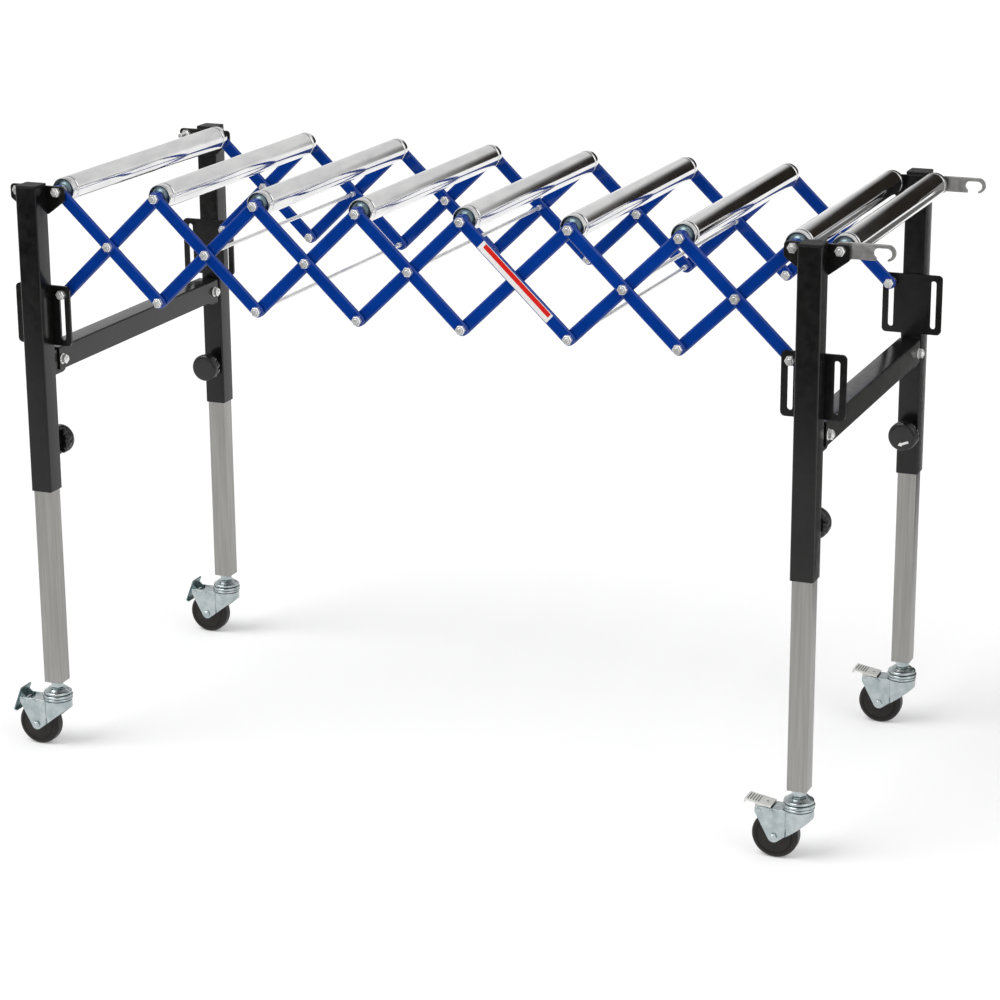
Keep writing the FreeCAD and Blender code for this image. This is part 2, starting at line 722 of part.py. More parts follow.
clamp_knob = new_body("clamp_knob")
knob_profile = new_sketch(clamp_knob, "XY_Plane")
draw_outline(
    knob_profile,
    [
        ("screw_radius", "knob_near"),
        ("knob_boss", "knob_near"),
        ("knob_boss", "knob_back"),
        ("knob_hub", "knob_back"),
        ("knob_radius", "knob_back + knob_crown"),
        ("knob_radius", "knob_far"),
        ("0", "knob_far"),
        ("0", "knob_near + clamp_hold"),
        ("screw_radius", "knob_near + clamp_hold"),
    ],
)
add_turning(clamp_knob, knob_profile)
add_round(clamp_knob, lambda edge: near(edge.BoundBox.YMin, "knob_far"), "knob_crown")
flute = new_sketch(clamp_knob, "XZ_Plane", "0 - knob_back")
draw_circle(flute, "knob_radius + flute_radius / 2", "0", "flute_radius")
flute_cut = add_cut(clamp_knob, flute, "knob_skirt")
flutes = clamp_knob.newObject("PartDesign::PolarPattern", "knob_flutes")
flutes.Originals = [flute_cut]
flutes.Axis = (origin_part(clamp_knob, "Y_Axis"), [""])
flutes.Occurrences = FLUTES
clamp_knob.Tip = flutes
doc.recompute()

clamp_screw = rod("clamp_screw", "screw_radius", "knob_near + clamp_hold - screw_start")

# Caster fork: pressed sheet, flat cheeks beside the wheel and a round hood below the swivel ring


def draw_keyhole(sketch, half, radius, back):
    """Two straight sides that run into a round front."""
    neck = f"0 - sqrt(({radius}) * ({radius}) - ({half}) * ({half}))"
    left = FreeCAD.Vector(number(neck), -number(half), 0)
    right = FreeCAD.Vector(number(neck), number(half), 0)
    front = FreeCAD.Vector(number(radius), 0, 0)
    low = FreeCAD.Vector(-number(back), -number(half), 0)
    high = FreeCAD.Vector(-number(back), number(half), 0)
    side = sketch.addGeometry(Part.LineSegment(low, left))
    hood = sketch.addGeometry(Part.Arc(left, front, right))
    other = sketch.addGeometry(Part.LineSegment(right, high))
    rear = sketch.addGeometry(Part.LineSegment(high, low))
    sketch.addConstraint(Sketcher.Constraint("Coincident", side, 2, hood, 1))
    sketch.addConstraint(Sketcher.Constraint("Coincident", hood, 2, other, 1))
    sketch.addConstraint(Sketcher.Constraint("Coincident", other, 2, rear, 1))
    sketch.addConstraint(Sketcher.Constraint("Coincident", rear, 2, side, 1))
    sketch.addConstraint(Sketcher.Constraint("Horizontal", side))
    sketch.addConstraint(Sketcher.Constraint("Horizontal", other))
    sketch.addConstraint(Sketcher.Constraint("Coincident", hood, 3, -1, 1))
    set_radius(sketch, hood, radius)
    pin_point(sketch, side, 1, f"0 - ({back})", f"0 - ({half})")
    pin_point(sketch, rear, 1, f"0 - ({back})", half)


fork = new_body("fork")
plan = new_sketch(fork, "XY_Plane", "foot_low")
draw_keyhole(plan, "fork_half", "race_radius - race_edge / 2", "fork_back")
add_pad(fork, plan, "fork_top - foot_low")
hollow = new_sketch(fork, "XY_Plane", "fork_top - fork_sheet")
draw_keyhole(hollow, "fork_inner", "race_radius - race_edge / 2 - fork_sheet", "fork_back + fork_sheet")
add_cut(fork, hollow)
opening = new_sketch(fork, "XY_Plane", "fork_top")
draw_outline(
    opening,
    [
        ("0 - fork_back - fork_sheet", "0 - fork_inner"),
        ("0 - fork_opening", "0 - fork_inner"),
        ("0 - fork_opening", "fork_inner"),
        ("0 - fork_back - fork_sheet", "fork_inner"),
    ],
)
add_cut(fork, opening)
cheek_sides = new_sketch(fork, "XZ_Plane", "fork_half * 2")
draw_outline(
    cheek_sides,
    [
        ("0 - fork_back", "fork_top - fork_rear"),
        ("0 - trail - fork_foot", "foot_low"),
        ("0 - fork_back - fork_sheet", "foot_low"),
        ("0 - fork_back - fork_sheet", "fork_top - fork_rear"),
    ],
)
draw_outline(
    cheek_sides,
    [
        ("fork_foot - trail", "foot_low"),
        ("race_radius", "fork_top - fork_hood"),
        ("race_radius", "foot_low"),
    ],
)
add_cut(fork, cheek_sides)
add_round(
    fork,
    lambda edge: runs_along(edge, Y_AXIS)
    and near(edge.BoundBox.ZMax, "foot_low")
    and edge.BoundBox.XMax < 0,
    "fork_foot - side_play",
)
fork_holes = new_sketch(fork, "XZ_Plane", "fork_half * 2")
draw_circle(fork_holes, "0 - trail", "wheel_radius", "bore_radius")
draw_circle(fork_holes, "0 - pedal_back", "pedal_height", "pin_radius")
draw_circle(fork_holes, "stop_gap - pedal_back", "pedal_height", "pin_radius")
add_cut(fork, fork_holes)
lower_race = new_sketch(fork, "XZ_Plane")
draw_outline(
    lower_race,
    [
        ("king_pin / 2 + pivot_fit", "fork_top"),
        ("race_radius - race_edge", "fork_top"),
        ("race_radius", "fork_top + race_height / 4"),
        ("race_radius - race_edge / 2", "fork_top + race_height / 2"),
        ("race_radius", "race_split - race_height / 4"),
        ("race_radius - race_edge", "race_split"),
        ("king_pin / 2 + pivot_fit", "race_split"),
    ],
)
add_turning(fork, lower_race)
swivel_hole = new_sketch(fork, "XY_Plane", "race_split")
draw_circle(swivel_hole, "0", "0", "king_pin / 2 + pivot_fit")
add_cut(fork, swivel_hole)

# Wheel axle with a head on both cheeks, and the pedal pin and stop pin as rivets through the fork


def rivet(label, radius, head_radius):
    span = rod(label + "_span", radius, "fork_half * 2 + axle_head", "0 - fork_half - axle_head / 2")
    first = rod(label + "_first", head_radius, "axle_head", "0 - fork_half - axle_head")
    second = rod(label + "_second", head_radius, "axle_head", "fork_half")
    return joined(label, [span, first, second])


wheel_axle = rivet("wheel_axle", "pivot_rod / 2", "hex_corner")
pedal_pin = rivet("pedal_pin", "pin_radius", "pin_radius + rib_width")

# Caster wheel: solid moulded tread with rounded shoulders around a raised hub

wheel = new_body("wheel")
wheel_profile = new_sketch(wheel, "XY_Plane")
near_half = [
    ("bore_radius", "hub_half"),
    ("hub_radius", "hub_half"),
    ("hub_radius + hub_over", "wheel_width / 2"),
    ("wheel_radius", "wheel_width / 2"),
]
far_half = [(radius, f"0 - ({side})") for radius, side in reversed(near_half)]
draw_outline(wheel_profile, near_half + far_half)
add_turning(wheel, wheel_profile)
add_round(wheel, lambda edge: near(edge.BoundBox.XMax, "wheel_radius") and edge.Closed, "wheel_edge")

# Brake pedal: folded sheet with a turned-down tip, a ribbed tread and two ears on the pedal pin

pedal = new_body("pedal")
tread = new_sketch(pedal, "XZ_Plane", "0 - fork_half")
draw_outline(
    tread,
    [
        ("0 - pedal_tip", "pedal_lift - pedal_lip"),
        ("pedal_sheet - pedal_tip", "pedal_lift - pedal_lip"),
        ("pedal_sheet - pedal_tip", "pedal_lift"),
        ("pedal_heel", "pedal_lift"),
        ("pedal_heel", "pedal_lift + pedal_sheet"),
        ("0 - pedal_tip", "pedal_lift + pedal_sheet"),
    ],
)
add_pad(pedal, tread, "fork_half * 2")
for ear_side in ("0 - ear_far", "ear_near"):
    ear = new_sketch(pedal, "XZ_Plane", ear_side)
    draw_outline(
        ear,
        [
            ("0 - pedal_heel / 2", "pedal_lift"),
            ("0 - pedal_ear", "0 - pedal_ear"),
            ("pedal_ear", "0 - pedal_ear"),
            ("pedal_heel / 2", "pedal_lift"),
        ],
    )
    add_pad(pedal, ear, "pedal_sheet")
add_round(
    pedal,
    lambda edge: runs_along(edge, Y_AXIS) and near(edge.BoundBox.ZMax, "0 - pedal_ear"),
    "pedal_ear - side_play",
)
pin_hole = new_sketch(pedal, "XZ_Plane", "fork_half * 2")
draw_circle(pin_hole, "0", "0", "pin_radius + pivot_fit")
add_cut(pedal, pin_hole)
rib = new_sketch(pedal, "XZ_Plane", "0 - ear_near")
rib_start = "pedal_sheet - pedal_tip"
draw_outline(
    rib,
    [
        (rib_start, "pedal_lift + pedal_sheet"),
        (f"{rib_start} + rib_width", "pedal_lift + pedal_sheet"),
        (f"{rib_start} + rib_width", "pedal_crown"),
        (rib_start, "pedal_crown"),
    ],
)
rib_pad = add_pad(pedal, rib, "ear_near * 2")
ribs = pedal.newObject("PartDesign::LinearPattern", "pedal_ribs")
ribs.Originals = [rib_pad]
ribs.Direction = (origin_part(pedal, "X_Axis"), [""])
ribs.setExpression("Length", sized(f"rib_step * {PEDAL_RIBS - 1}"))
ribs.Occurrences = PEDAL_RIBS
pedal.Tip = ribs
doc.recompute()

# Roller: steel tube with a crimped ring near each end, and pressed end cups that run on the axle

roller_tube = new_body("roller_tube")
tube_profile = new_sketch(roller_tube, "XY_Plane")
skin = "roller_diameter / 2"
bore = "roller_diameter / 2 - roller_wall"
crimp = "roller_face - crimp_inset"
tube_outside = [
    (skin, "roller_face"),
    (skin, f"{crimp} + crimp_width / 2"),
    (f"{skin} - crimp_depth", crimp),
    (skin, f"{crimp} - crimp_width / 2"),
]
tube_below = [(radius, f"0 - ({place_along})") for radius, place_along in reversed(tube_outside)]
tube_inside = [(bore, "0 - roller_face"), (bore, "roller_face")]
draw_outline(tube_profile, tube_outside + tube_below + tube_inside)
add_turning(roller_tube, tube_profile)

roller_cup = new_body("roller_cup")
cup_profile = new_sketch(roller_cup, "XY_Plane")
cup_face = "roller_face - cup_inset"
draw_outline(
    cup_profile,
    [
        ("bore_radius", cup_face),
        ("cup_hub", cup_face),
        ("cup_hub + cup_dish", f"{cup_face} - cup_dish"),
        (f"{bore} - cup_thick", f"{cup_face} - cup_dish"),
        (f"{bore} - cup_thick", cup_face),
        (bore, cup_face),
        (bore, f"{cup_face} - cup_depth"),
        (f"{bore} - cup_thick", f"{cup_face} - cup_depth"),
        (f"{bore} - cup_thick", f"{cup_face} - cup_dish - cup_thick"),
        ("bore_radius", f"{cup_face} - cup_dish - cup_thick"),
    ],
)
add_turning(roller_cup, cup_profile)

# Coupling hook: flat plate with round ends and a long mouth that opens downwards beside its claw

hook = new_body("hook")
shank_outline = new_sketch(hook, "XZ_Plane", "0 - hook_thick")
draw_slot(shank_outline, ("0", "0"), ("hook_reach", "0"), "hook_half")
add_pad(hook, shank_outline, "hook_thick")
mouth = new_sketch(hook, "XZ_Plane")
draw_slot(mouth, ("mouth_start", "0 - hook_sag"), ("mouth_end", "0 - hook_sag"), "mouth_radius")
draw_circle(mouth, "0", "0", "bore_radius")
add_cut(hook, mouth)
way_in = new_sketch(hook, "XZ_Plane")
draw_outline(
    way_in,
    [
        ("claw_tip - mouth_opening", "0 - hook_height"),
        ("claw_tip", "0 - hook_height"),
        ("claw_tip", "0 - hook_sag"),
        ("claw_tip - mouth_opening", "0 - hook_sag"),
    ],
)
add_cut(hook, way_in)

# The two stands: posts with caps, clamp nuts and lugs, plates, rail and fasteners

SIDES = (("front", "0 - post_y", "0"), ("back", "post_y", HALF_TURN))
STANDS = (("left", "left_x"), ("right", "right_x"))


def axle_set(x, bolt, far_face):
    """An axle across the conveyor, its head in front and its nut at the back."""
    front = f"0 - ({far_face})"
    return [
        place(bolt, x, front, "pivot_height", X_AXIS, BACK_QUARTER_TURN),
        place(nut, x, far_face, "pivot_height", X_AXIS, BACK_QUARTER_TURN),
    ]


def across(piece, x, start, height):
    """A sleeve or washer around an axle, from its start towards the back."""
    return place(piece, x, start, height, X_AXIS, BACK_QUARTER_TURN)


for stand, stand_x in STANDS:
    posts = []
    plates = []
    fasteners = []
    for side, side_y, facing in SIDES:
        for piece in (post_tube, post_cap, rail_lug):
            posts.append(place(piece, stand_x, side_y, "0", Z_AXIS, facing))
        away = BACK_QUARTER_TURN if side == "front" else QUARTER_TURN
        inward = "1" if side == "front" else "0 - 1"
        nut_face = f"{side_y} + ({inward}) * post_half"
        posts.append(place(clamp_nut, stand_x, nut_face, "knob_height", X_AXIS, away))
        for piece in (top_bracket, slot_plate):
            plates.append(place(piece, stand_x, side_y, "0", Z_AXIS, facing))
        bolt_y = f"({inward}) * (rail_bolt_inset - rail_half)"
        head_x = f"{stand_x} + post_half"
        fasteners.append(place(rail_bolt, head_x, bolt_y, "rail_bolt_height", Y_AXIS, BACK_QUARTER_TURN))
        nut_x = f"{stand_x} - post_half"
        fasteners.append(place(nut, nut_x, bolt_y, "rail_bolt_height", Y_AXIS, BACK_QUARTER_TURN))
        if stand == "left":
            stud_x = "left_x - wing_reach"
            stud_y = f"0 - ({inward}) * plate_far"
            fasteners.append(place(coupling_stud, stud_x, stud_y, "pivot_height", X_AXIS, away))
            lock_y = f"0 - ({inward}) * plate_near"
            fasteners.append(place(nut, stud_x, lock_y, "pivot_height", X_AXIS, away))
    if stand == "right":
        last_x = "right_x - wing_reach"
        end_x = "right_x + wing_reach"
        for axle_x in (last_x, end_x):
            fasteners += axle_set(axle_x, axle_over_plates, "plate_far + side_play")
        fasteners.append(across(outer_sleeve, last_x, "0 - plate_near", "pivot_height"))
        fasteners.append(across(washer, last_x, "side_play - inner_near", "pivot_height"))
        fasteners.append(across(inner_sleeve, last_x, "roller_face + side_play", "pivot_height"))
        fasteners.append(across(inner_sleeve, end_x, "side_play - outer_near", "pivot_height"))
        fasteners.append(across(inner_sleeve, end_x, "roller_face + side_play", "pivot_height"))
    make_node(stand + "_posts", posts)
    make_node(stand + "_plates", plates)
    make_node(stand + "_rail", [place(cross_rail, stand_x)])
    make_node(stand + "_fasteners", fasteners)
    for side, side_y, facing in SIDES:
        corner = f"{side}_{stand}"
        leg_pieces = [place(piece, stand_x, side_y) for piece in (leg_tube, foot_plug, upper_race, king_pin)]
        leg_pieces.append(place(stem_nut, stand_x, side_y, "race_top"))
        make_node("leg_" + corner, leg_pieces)
        knob = place(clamp_knob, stand_x, side_y, "0", Z_AXIS, facing)
        knob.setExpression("Placement.Base.z", sized("knob_height"))
        away = BACK_QUARTER_TURN if side == "front" else QUARTER_TURN
        tip_y = f"{side_y} + screw_start" if side == "front" else f"{side_y} - screw_start"
        screw = place(clamp_screw, stand_x, tip_y, "knob_height", X_AXIS, away)
        make_node("knob_" + corner, [knob, screw])
        axle_x = f"{stand_x} - trail"
        pin_x = f"{stand_x} - pedal_back"
        stop_x = f"{stand_x} - pedal_back + stop_gap"
        fork_pieces = [
            place(fork, stand_x, side_y),
            place(wheel_axle, axle_x, side_y, "wheel_radius", X_AXIS, BACK_QUARTER_TURN),
            place(pedal_pin, pin_x, side_y, "pedal_height", X_AXIS, BACK_QUARTER_TURN),
            place(pedal_pin, stop_x, side_y, "pedal_height", X_AXIS, BACK_QUARTER_TURN),
        ]
        make_node("fork_" + corner, fork_pieces)
        make_node("wheel_" + corner, [place(wheel, axle_x, side_y, "wheel_radius")])
        tilt = "0 - pedal_pressed" if stand == "left" else "pedal_raised"
        make_node("pedal_" + corner, [place(pedal, pin_x, side_y, "pedal_height", Y_AXIS, tilt)])

# The scissor frame: falling bars from top left, rising bars to top right, and their pivots.
# One pivot is riveted flush with its bar, below the label place.


def cross_pair(x, height, tied, flush=False):
    """The pivot of two crossing bars: one rod across the conveyor or a short bolt on each side."""
    if tied:
        whole = place(cross_rod, x, "0", height, X_AXIS, BACK_QUARTER_TURN)
        front_nut = place(nut, x, "0 - outer_far", height, X_AXIS, QUARTER_TURN)
        back_nut = place(nut, x, "outer_far + side_play", height, X_AXIS, BACK_QUARTER_TURN)
        return [whole, front_nut, back_nut]
    bolts = [
        place(cross_bolt, x, "inner_near", height, X_AXIS, BACK_QUARTER_TURN),
        place(nut, x, "outer_far + side_play", height, X_AXIS, BACK_QUARTER_TURN),
    ]
    if flush:
        bolts.append(place(flush_bolt, x, "side_play - inner_near", height, X_AXIS, QUARTER_TURN))
    else:
        bolts.append(place(cross_bolt, x, "side_play - inner_near", height, X_AXIS, QUARTER_TURN))
        bolts.append(place(nut, x, "0 - outer_far", height, X_AXIS, QUARTER_TURN))
    return bolts


def slot_pair(x, front_bolt, front_start, back_bolt, back_start):
    """The two bolts that slide in the slots of a stand."""
    beyond = "plate_far + side_play"
    return [
        place(front_bolt, x, f"0 - {front_start}", "bottom_height", X_AXIS, QUARTER_TURN),
        place(nut, x, f"0 - ({beyond})", "bottom_height", X_AXIS, QUARTER_TURN),
        place(back_bolt, x, back_start, "bottom_height", X_AXIS, BACK_QUARTER_TURN),
        place(nut, x, beyond, "bottom_height", X_AXIS, BACK_QUARTER_TURN),
    ]


for cell in range(1, CELLS + 1):
    top_x = f"first_x + {cell - 1} * pitch"
    next_x = f"first_x + {cell} * pitch"
    centre_x = f"first_x + {cell - 1} * pitch + pitch / 2"
    centre_height = "pivot_height - rise / 2"
    falling = [
        place(falling_bar, top_x, "0 - outer_far", "pivot_height", Y_AXIS, "lean"),
        place(falling_bar, top_x, "inner_near", "pivot_height", Y_AXIS, "lean"),
    ]
    rising = [
        place(rising_bar, top_x, "0 - inner_far", "bottom_height", Y_AXIS, "-1 * lean"),
        place(rising_bar, top_x, "outer_near", "bottom_height", Y_AXIS, "-1 * lean"),
    ]
    pivots = [across(washer, top_x, "inner_near - roller_side_gap + side_play * 2", "pivot_height")]
    if cell == 1:
        pivots += axle_set(top_x, axle_over_plates, "plate_far + side_play")
        pivots.append(across(inner_sleeve, top_x, "side_play * 2 - outer_near", "pivot_height"))
        pivots.append(across(outer_sleeve, top_x, "inner_far", "pivot_height"))
        rising += slot_pair(top_x, slot_bolt_inner, "inner_near", slot_bolt_outer, "outer_near")
        rising.append(across(outer_sleeve, top_x, "side_play - plate_near", "bottom_height"))
    else:
        pivots += [
            place(axle_over_bars, top_x, "0 - outer_far", "pivot_height", X_AXIS, BACK_QUARTER_TURN),
            place(nut, top_x, "outer_far + side_play", "pivot_height", X_AXIS, BACK_QUARTER_TURN),
            across(washer, top_x, "side_play - inner_near", "pivot_height"),
        ]
    pivots += cross_pair(centre_x, centre_height, cell in TIE_ROD_CENTRES, cell == LABELLED_CELL)
    if cell == CELLS:
        pivots += slot_pair(next_x, slot_bolt_outer, "outer_near", slot_bolt_inner, "inner_near")
        pivots.append(across(outer_sleeve, next_x, "inner_far", "bottom_height"))
    else:
        pivots += cross_pair(next_x, "bottom_height", cell in TIE_ROD_BOTTOMS)
    make_node(f"falling_bars_{cell}", falling)
    make_node(f"rising_bars_{cell}", rising)
    make_node(f"pivots_{cell}", pivots)

# Rollers on the top pivots, with one more on the outer wings of the right stand

for index in range(1, CELLS + 3):
    roller_x = f"first_x + {index - 1} * pitch"
    if index == CELLS + 2:
        roller_x = "right_x + wing_reach"
    make_node(
        f"roller_{index}",
        [
            place(roller_tube, roller_x, "0", "pivot_height"),
            place(roller_cup, roller_x, "0", "pivot_height", Z_AXIS, HALF_TURN),
            place(roller_cup, roller_x, "0", "pivot_height"),
        ],
    )

# Coupling hooks on the outer axle of the right stand

make_node("hook_front", [place(hook, "right_x + wing_reach", "0 - outer_near - hook_thick", "pivot_height")])
make_node("hook_back", [place(hook, "right_x + wing_reach", "outer_near", "pivot_height")])

doc.recompute()

# Every object is sound before anything is written

for item in doc.Objects:
    if "Invalid" in item.State or "Error" in item.State:
        raise ValueError(f"{item.Label} did not build: {item.State}")
for group in nodes:
    if group.Shape.isNull() or not group.Shape.isValid():
        raise ValueError(f"{group.Label} has no sound shape")

os.makedirs("parts", exist_ok=True)
for group in nodes:
    group.Shape.exportStep(f"parts/{group.Label}.step")
print(len(nodes), "nodes,", sum(len(group.Shape.Solids) for group in nodes), "solids")
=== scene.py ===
import json
import math

import bmesh
import bpy
from mathutils import Matrix, Vector


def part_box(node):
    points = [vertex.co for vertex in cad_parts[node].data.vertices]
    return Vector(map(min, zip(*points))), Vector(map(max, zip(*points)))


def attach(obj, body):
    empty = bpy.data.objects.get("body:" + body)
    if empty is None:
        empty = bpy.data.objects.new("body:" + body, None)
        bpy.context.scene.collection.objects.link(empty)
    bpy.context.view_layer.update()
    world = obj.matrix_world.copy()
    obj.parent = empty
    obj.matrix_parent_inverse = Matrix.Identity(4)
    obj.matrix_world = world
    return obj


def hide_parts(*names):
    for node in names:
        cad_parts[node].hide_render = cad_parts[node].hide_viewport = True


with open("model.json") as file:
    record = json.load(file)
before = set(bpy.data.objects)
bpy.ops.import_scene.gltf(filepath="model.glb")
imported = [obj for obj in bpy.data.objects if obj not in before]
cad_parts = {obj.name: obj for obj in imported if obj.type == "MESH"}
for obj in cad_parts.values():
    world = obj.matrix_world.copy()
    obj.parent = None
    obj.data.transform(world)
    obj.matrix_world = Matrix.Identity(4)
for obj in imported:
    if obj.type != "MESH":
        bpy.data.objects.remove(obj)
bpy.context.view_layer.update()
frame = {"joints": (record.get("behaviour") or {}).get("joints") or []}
scene = bpy.context.scene

# Outer posts: square steel tube, black powder coat, open at the bottom where the legs slide in.
# Each stand has a front and a back post, cut to the same length.

STANDS = ("left", "right")
SIDES = ("front", "back")
# Joint places as the frame gives them, and as vectors, which round them to fewer digits.
places = {joint["name"]: joint["pos_m"] for joint in frame["joints"] if "pos_m" in joint}
joint_at = {name: Vector(place) for name, place in places.items()}
post_x = {stand: places[f"fork_front_{stand}_swivel"][0] for stand in STANDS}
post_y = {side: places[f"knob_{side}_left_turn"][1] for side in SIDES}
post_low, post_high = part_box("left_posts")
POST_WIDTH = post_high.x - post_low.x
POST_WALL = 0.002
POST_CORNER = 0.003
CAP_HEIGHT = 0.0035
POST_TOP = post_high.z - CAP_HEIGHT
POST_BOTTOM = post_low.z
CUT_EDGE = 0.0004
ARC_STEP = math.radians(9)
UPWARD = Vector((0, 0, 1))


def rounded(points, radius):
    """A closed outline with the same rounding on every corner."""
    outline = []
    corners = [Vector(point) for point in points]
    for before, corner, after in zip(corners[-1:] + corners, corners, corners[1:] + corners[:1]):
        back = (before - corner).normalized()
        ahead = (after - corner).normalized()
        half = back.angle(ahead) / 2
        reach = radius / math.tan(half)
        middle = corner + (back + ahead).normalized() * (radius / math.sin(half))
        start = corner + back * reach - middle
        turn = start.angle_signed(corner + ahead * reach - middle)
        steps = max(1, round(abs(turn) / ARC_STEP))
        for step in range(steps + 1):
            spot = start.copy()
            spot.rotate(Matrix.Rotation(-turn * step / steps, 2))
            outline.append(middle + spot)
    return outline


def rectangle(low, high):
    return [low, (high[0], low[1]), high, (low[0], high[1])]


def square(half, corner):
    return rounded(rectangle((-half, -half), (half, half)), corner)


def after_modifier(mesh, kind, settings, inputs=()):
    """The plain mesh that one modifier makes of a mesh."""
    holder = bpy.data.objects.new("holder", mesh)
    scene.collection.objects.link(holder)
    modifier = holder.modifiers.new(kind.lower(), kind)
    for setting, value in settings.items():
        setattr(modifier, setting, value)
    for identifier, value in inputs:
        modifier[identifier] = value
    depsgraph = bpy.context.evaluated_depsgraph_get()
    finished = bpy.data.meshes.new_from_object(holder.evaluated_get(depsgraph))
    holder.modifiers.clear()
    bpy.data.objects.remove(holder)
    return finished


def softened(mesh, edge, segments=3):
    """The mesh with its sharp edges rounded and its flat faces kept flat."""
    mesh.shade_smooth()
    settings = {
        "width": edge,
        "segments": segments,
        "limit_method": "ANGLE",
        "angle_limit": math.radians(40),
        "harden_normals": True,
        "use_clamp_overlap": True,
    }
    return after_modifier(mesh, "BEVEL", settings)


def prism(outline, height, edge, holes=(), segments=3):
    """A piece cut to an outline with holes, from the XY plane up to its height, edges rounded."""
    shape = bmesh.new()
    edges = []
    for loop in (outline, *holes):
        corners = [shape.verts.new((point[0], point[1], 0)) for point in loop]
        for index in range(len(corners)):
            edges.append(shape.edges.new((corners[index - 1], corners[index])))
    bmesh.ops.triangle_fill(shape, use_beauty=True, edges=edges, normal=UPWARD)
    bmesh.ops.dissolve_limit(shape, angle_limit=0.01, verts=shape.verts[:], edges=shape.edges[:])
    lifted = bmesh.ops.extrude_face_region(shape, geom=shape.faces[:], use_keep_orig=True)
    upper = [item for item in lifted["geom"] if isinstance(item, bmesh.types.BMVert)]
    bmesh.ops.translate(shape, verts=upper, vec=UPWARD * height)
    bmesh.ops.recalc_face_normals(shape, faces=shape.faces[:])
    mesh = bpy.data.meshes.new("prism")
    shape.to_mesh(mesh)
    shape.free()
    return softened(mesh, edge, segments) if edge else mesh


def new_finish(name, colour, metal, rough, shine=0.5):
    """A paint, plating, plastic or rubber, with its even values on the shader's own sockets."""
    finish = bpy.data.materials.new(name)
    finish.use_nodes = True
    sockets = finish.node_tree.nodes["Principled BSDF"].inputs
    sockets["Base Color"].default_value = (*colour, 1)
    sockets["Metallic"].default_value = metal
    sockets["Roughness"].default_value = rough
    sockets["Specular IOR Level"].default_value = shine
    return finish


def add_node(tree, kind, inputs):
    """A node whose inputs are set to values or linked to the outputs of other nodes."""
    node = tree.nodes.new(kind)
    for label, value in inputs.items():
        if isinstance(value, bpy.types.NodeSocket):
            tree.links.new(value, node.inputs[label])
        else:
            node.inputs[label].default_value = value
    return node


def shade(finish, label, output):
    """Leads a node's output into the shader of a finish."""
    tree = finish.node_tree
    tree.links.new(output, tree.nodes["Principled BSDF"].inputs[label])


EVEN = (1, 1, 1)
COLOUR_BAND = (0.35, 0.65)
GLOSS_BAND = (0.3, 0.7)


def noise_in(finish, size, scale, detail=4):
    """Noise over the piece, drawn out along the axes whose scale is small."""
    tree = finish.node_tree
    place = tree.nodes.new("ShaderNodeTexCoord").outputs["Object"]
    mapping = add_node(tree, "ShaderNodeMapping", {"Vector": place, "Scale": scale})
    settings = {"Vector": mapping.outputs["Vector"], "Scale": 1 / size, "Detail": detail}
    return add_node(tree, "ShaderNodeTexNoise", settings).outputs["Fac"]


def uneven_colour(finish, size, dark, light, scale=EVEN):
    ramp = add_node(finish.node_tree, "ShaderNodeValToRGB", {"Fac": noise_in(finish, size, scale)})
    for element, position, colour in zip(ramp.color_ramp.elements, COLOUR_BAND, (dark, light)):
        element.position = position
        element.color = (*colour, 1)
    shade(finish, "Base Color", ramp.outputs["Color"])


def uneven_gloss(finish, size, low, high, scale=EVEN):
    settings = {"Value": noise_in(finish, size, scale), "To Min": low, "To Max": high}
    settings["From Min"], settings["From Max"] = GLOSS_BAND
    spread = add_node(finish.node_tree, "ShaderNodeMapRange", settings)
    shade(finish, "Roughness", spread.outputs["Result"])


def fine_dimples(finish, size, depth, scale=EVEN):
    settings = {"Height": noise_in(finish, size, scale, 2), "Strength": 1, "Distance": depth}
    bump = add_node(finish.node_tree, "ShaderNodeBump", settings)
    shade(finish, "Normal", bump.outputs["Normal"])


black_coat = new_finish("black_powder_coat", (0.005, 0.0048, 0.0046), 0, 0.2, 0.35)
uneven_colour(black_coat, 0.06, (0.004, 0.0039, 0.0038), (0.007, 0.0067, 0.0064), (1, 1, 0.4))
uneven_gloss(black_coat, 0.012, 0.15, 0.26)
fine_dimples(black_coat, 0.0011, 0.00002)
tube_bore = square(POST_WIDTH / 2 - POST_WALL, POST_CORNER - POST_WALL / 2)
tube = prism(square(POST_WIDTH / 2, POST_CORNER), POST_TOP - POST_BOTTOM, CUT_EDGE, [tube_bore])

# Rail lugs: sheet steel folded to a channel and welded to the inner face of each post.
# Their lower corners are rounded and they hold the cross rail between their cheeks.

LUG_SHEET = 0.003
LUG_LENGTH = 0.036
LUG_HALF = 0.0147
LUG_ROUND = 0.012
LUG_DROP = 0.006
RAIL_WALL = 0.0025
PLAY = 0.0003
rail_low, rail_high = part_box("left_rail")
lug_low = rail_low.z - LUG_DROP
lug_high = rail_high.z - RAIL_WALL - PLAY
lug_start = POST_WIDTH / 2
lug_end = lug_start + LUG_LENGTH
# A sheet drawn flat and stood up: its outline runs along Y and Z, or along X and Z.
ALONG_Y = Matrix(((0, 0, 1, 0), (1, 0, 0, 0), (0, 1, 0, 0), (0, 0, 0, 1)))
ALONG_X = Matrix(((1, 0, 0, 0), (0, 0, -1, 0), (0, 1, 0, 0), (0, 0, 0, 1)))


def arc(centre, radius, start, end):
    """Points on a circle, from one angle in degrees to another."""
    steps = max(2, round(abs(math.radians(end - start)) / ARC_STEP))
    points = []
    for step in range(steps + 1):
        angle = math.radians(start + (end - start) * step / steps)
        points.append(Vector(centre) + radius * Vector((math.cos(angle), math.sin(angle))))
    return points


def at(x, y, z):
    return Matrix.Translation((x, y, z))


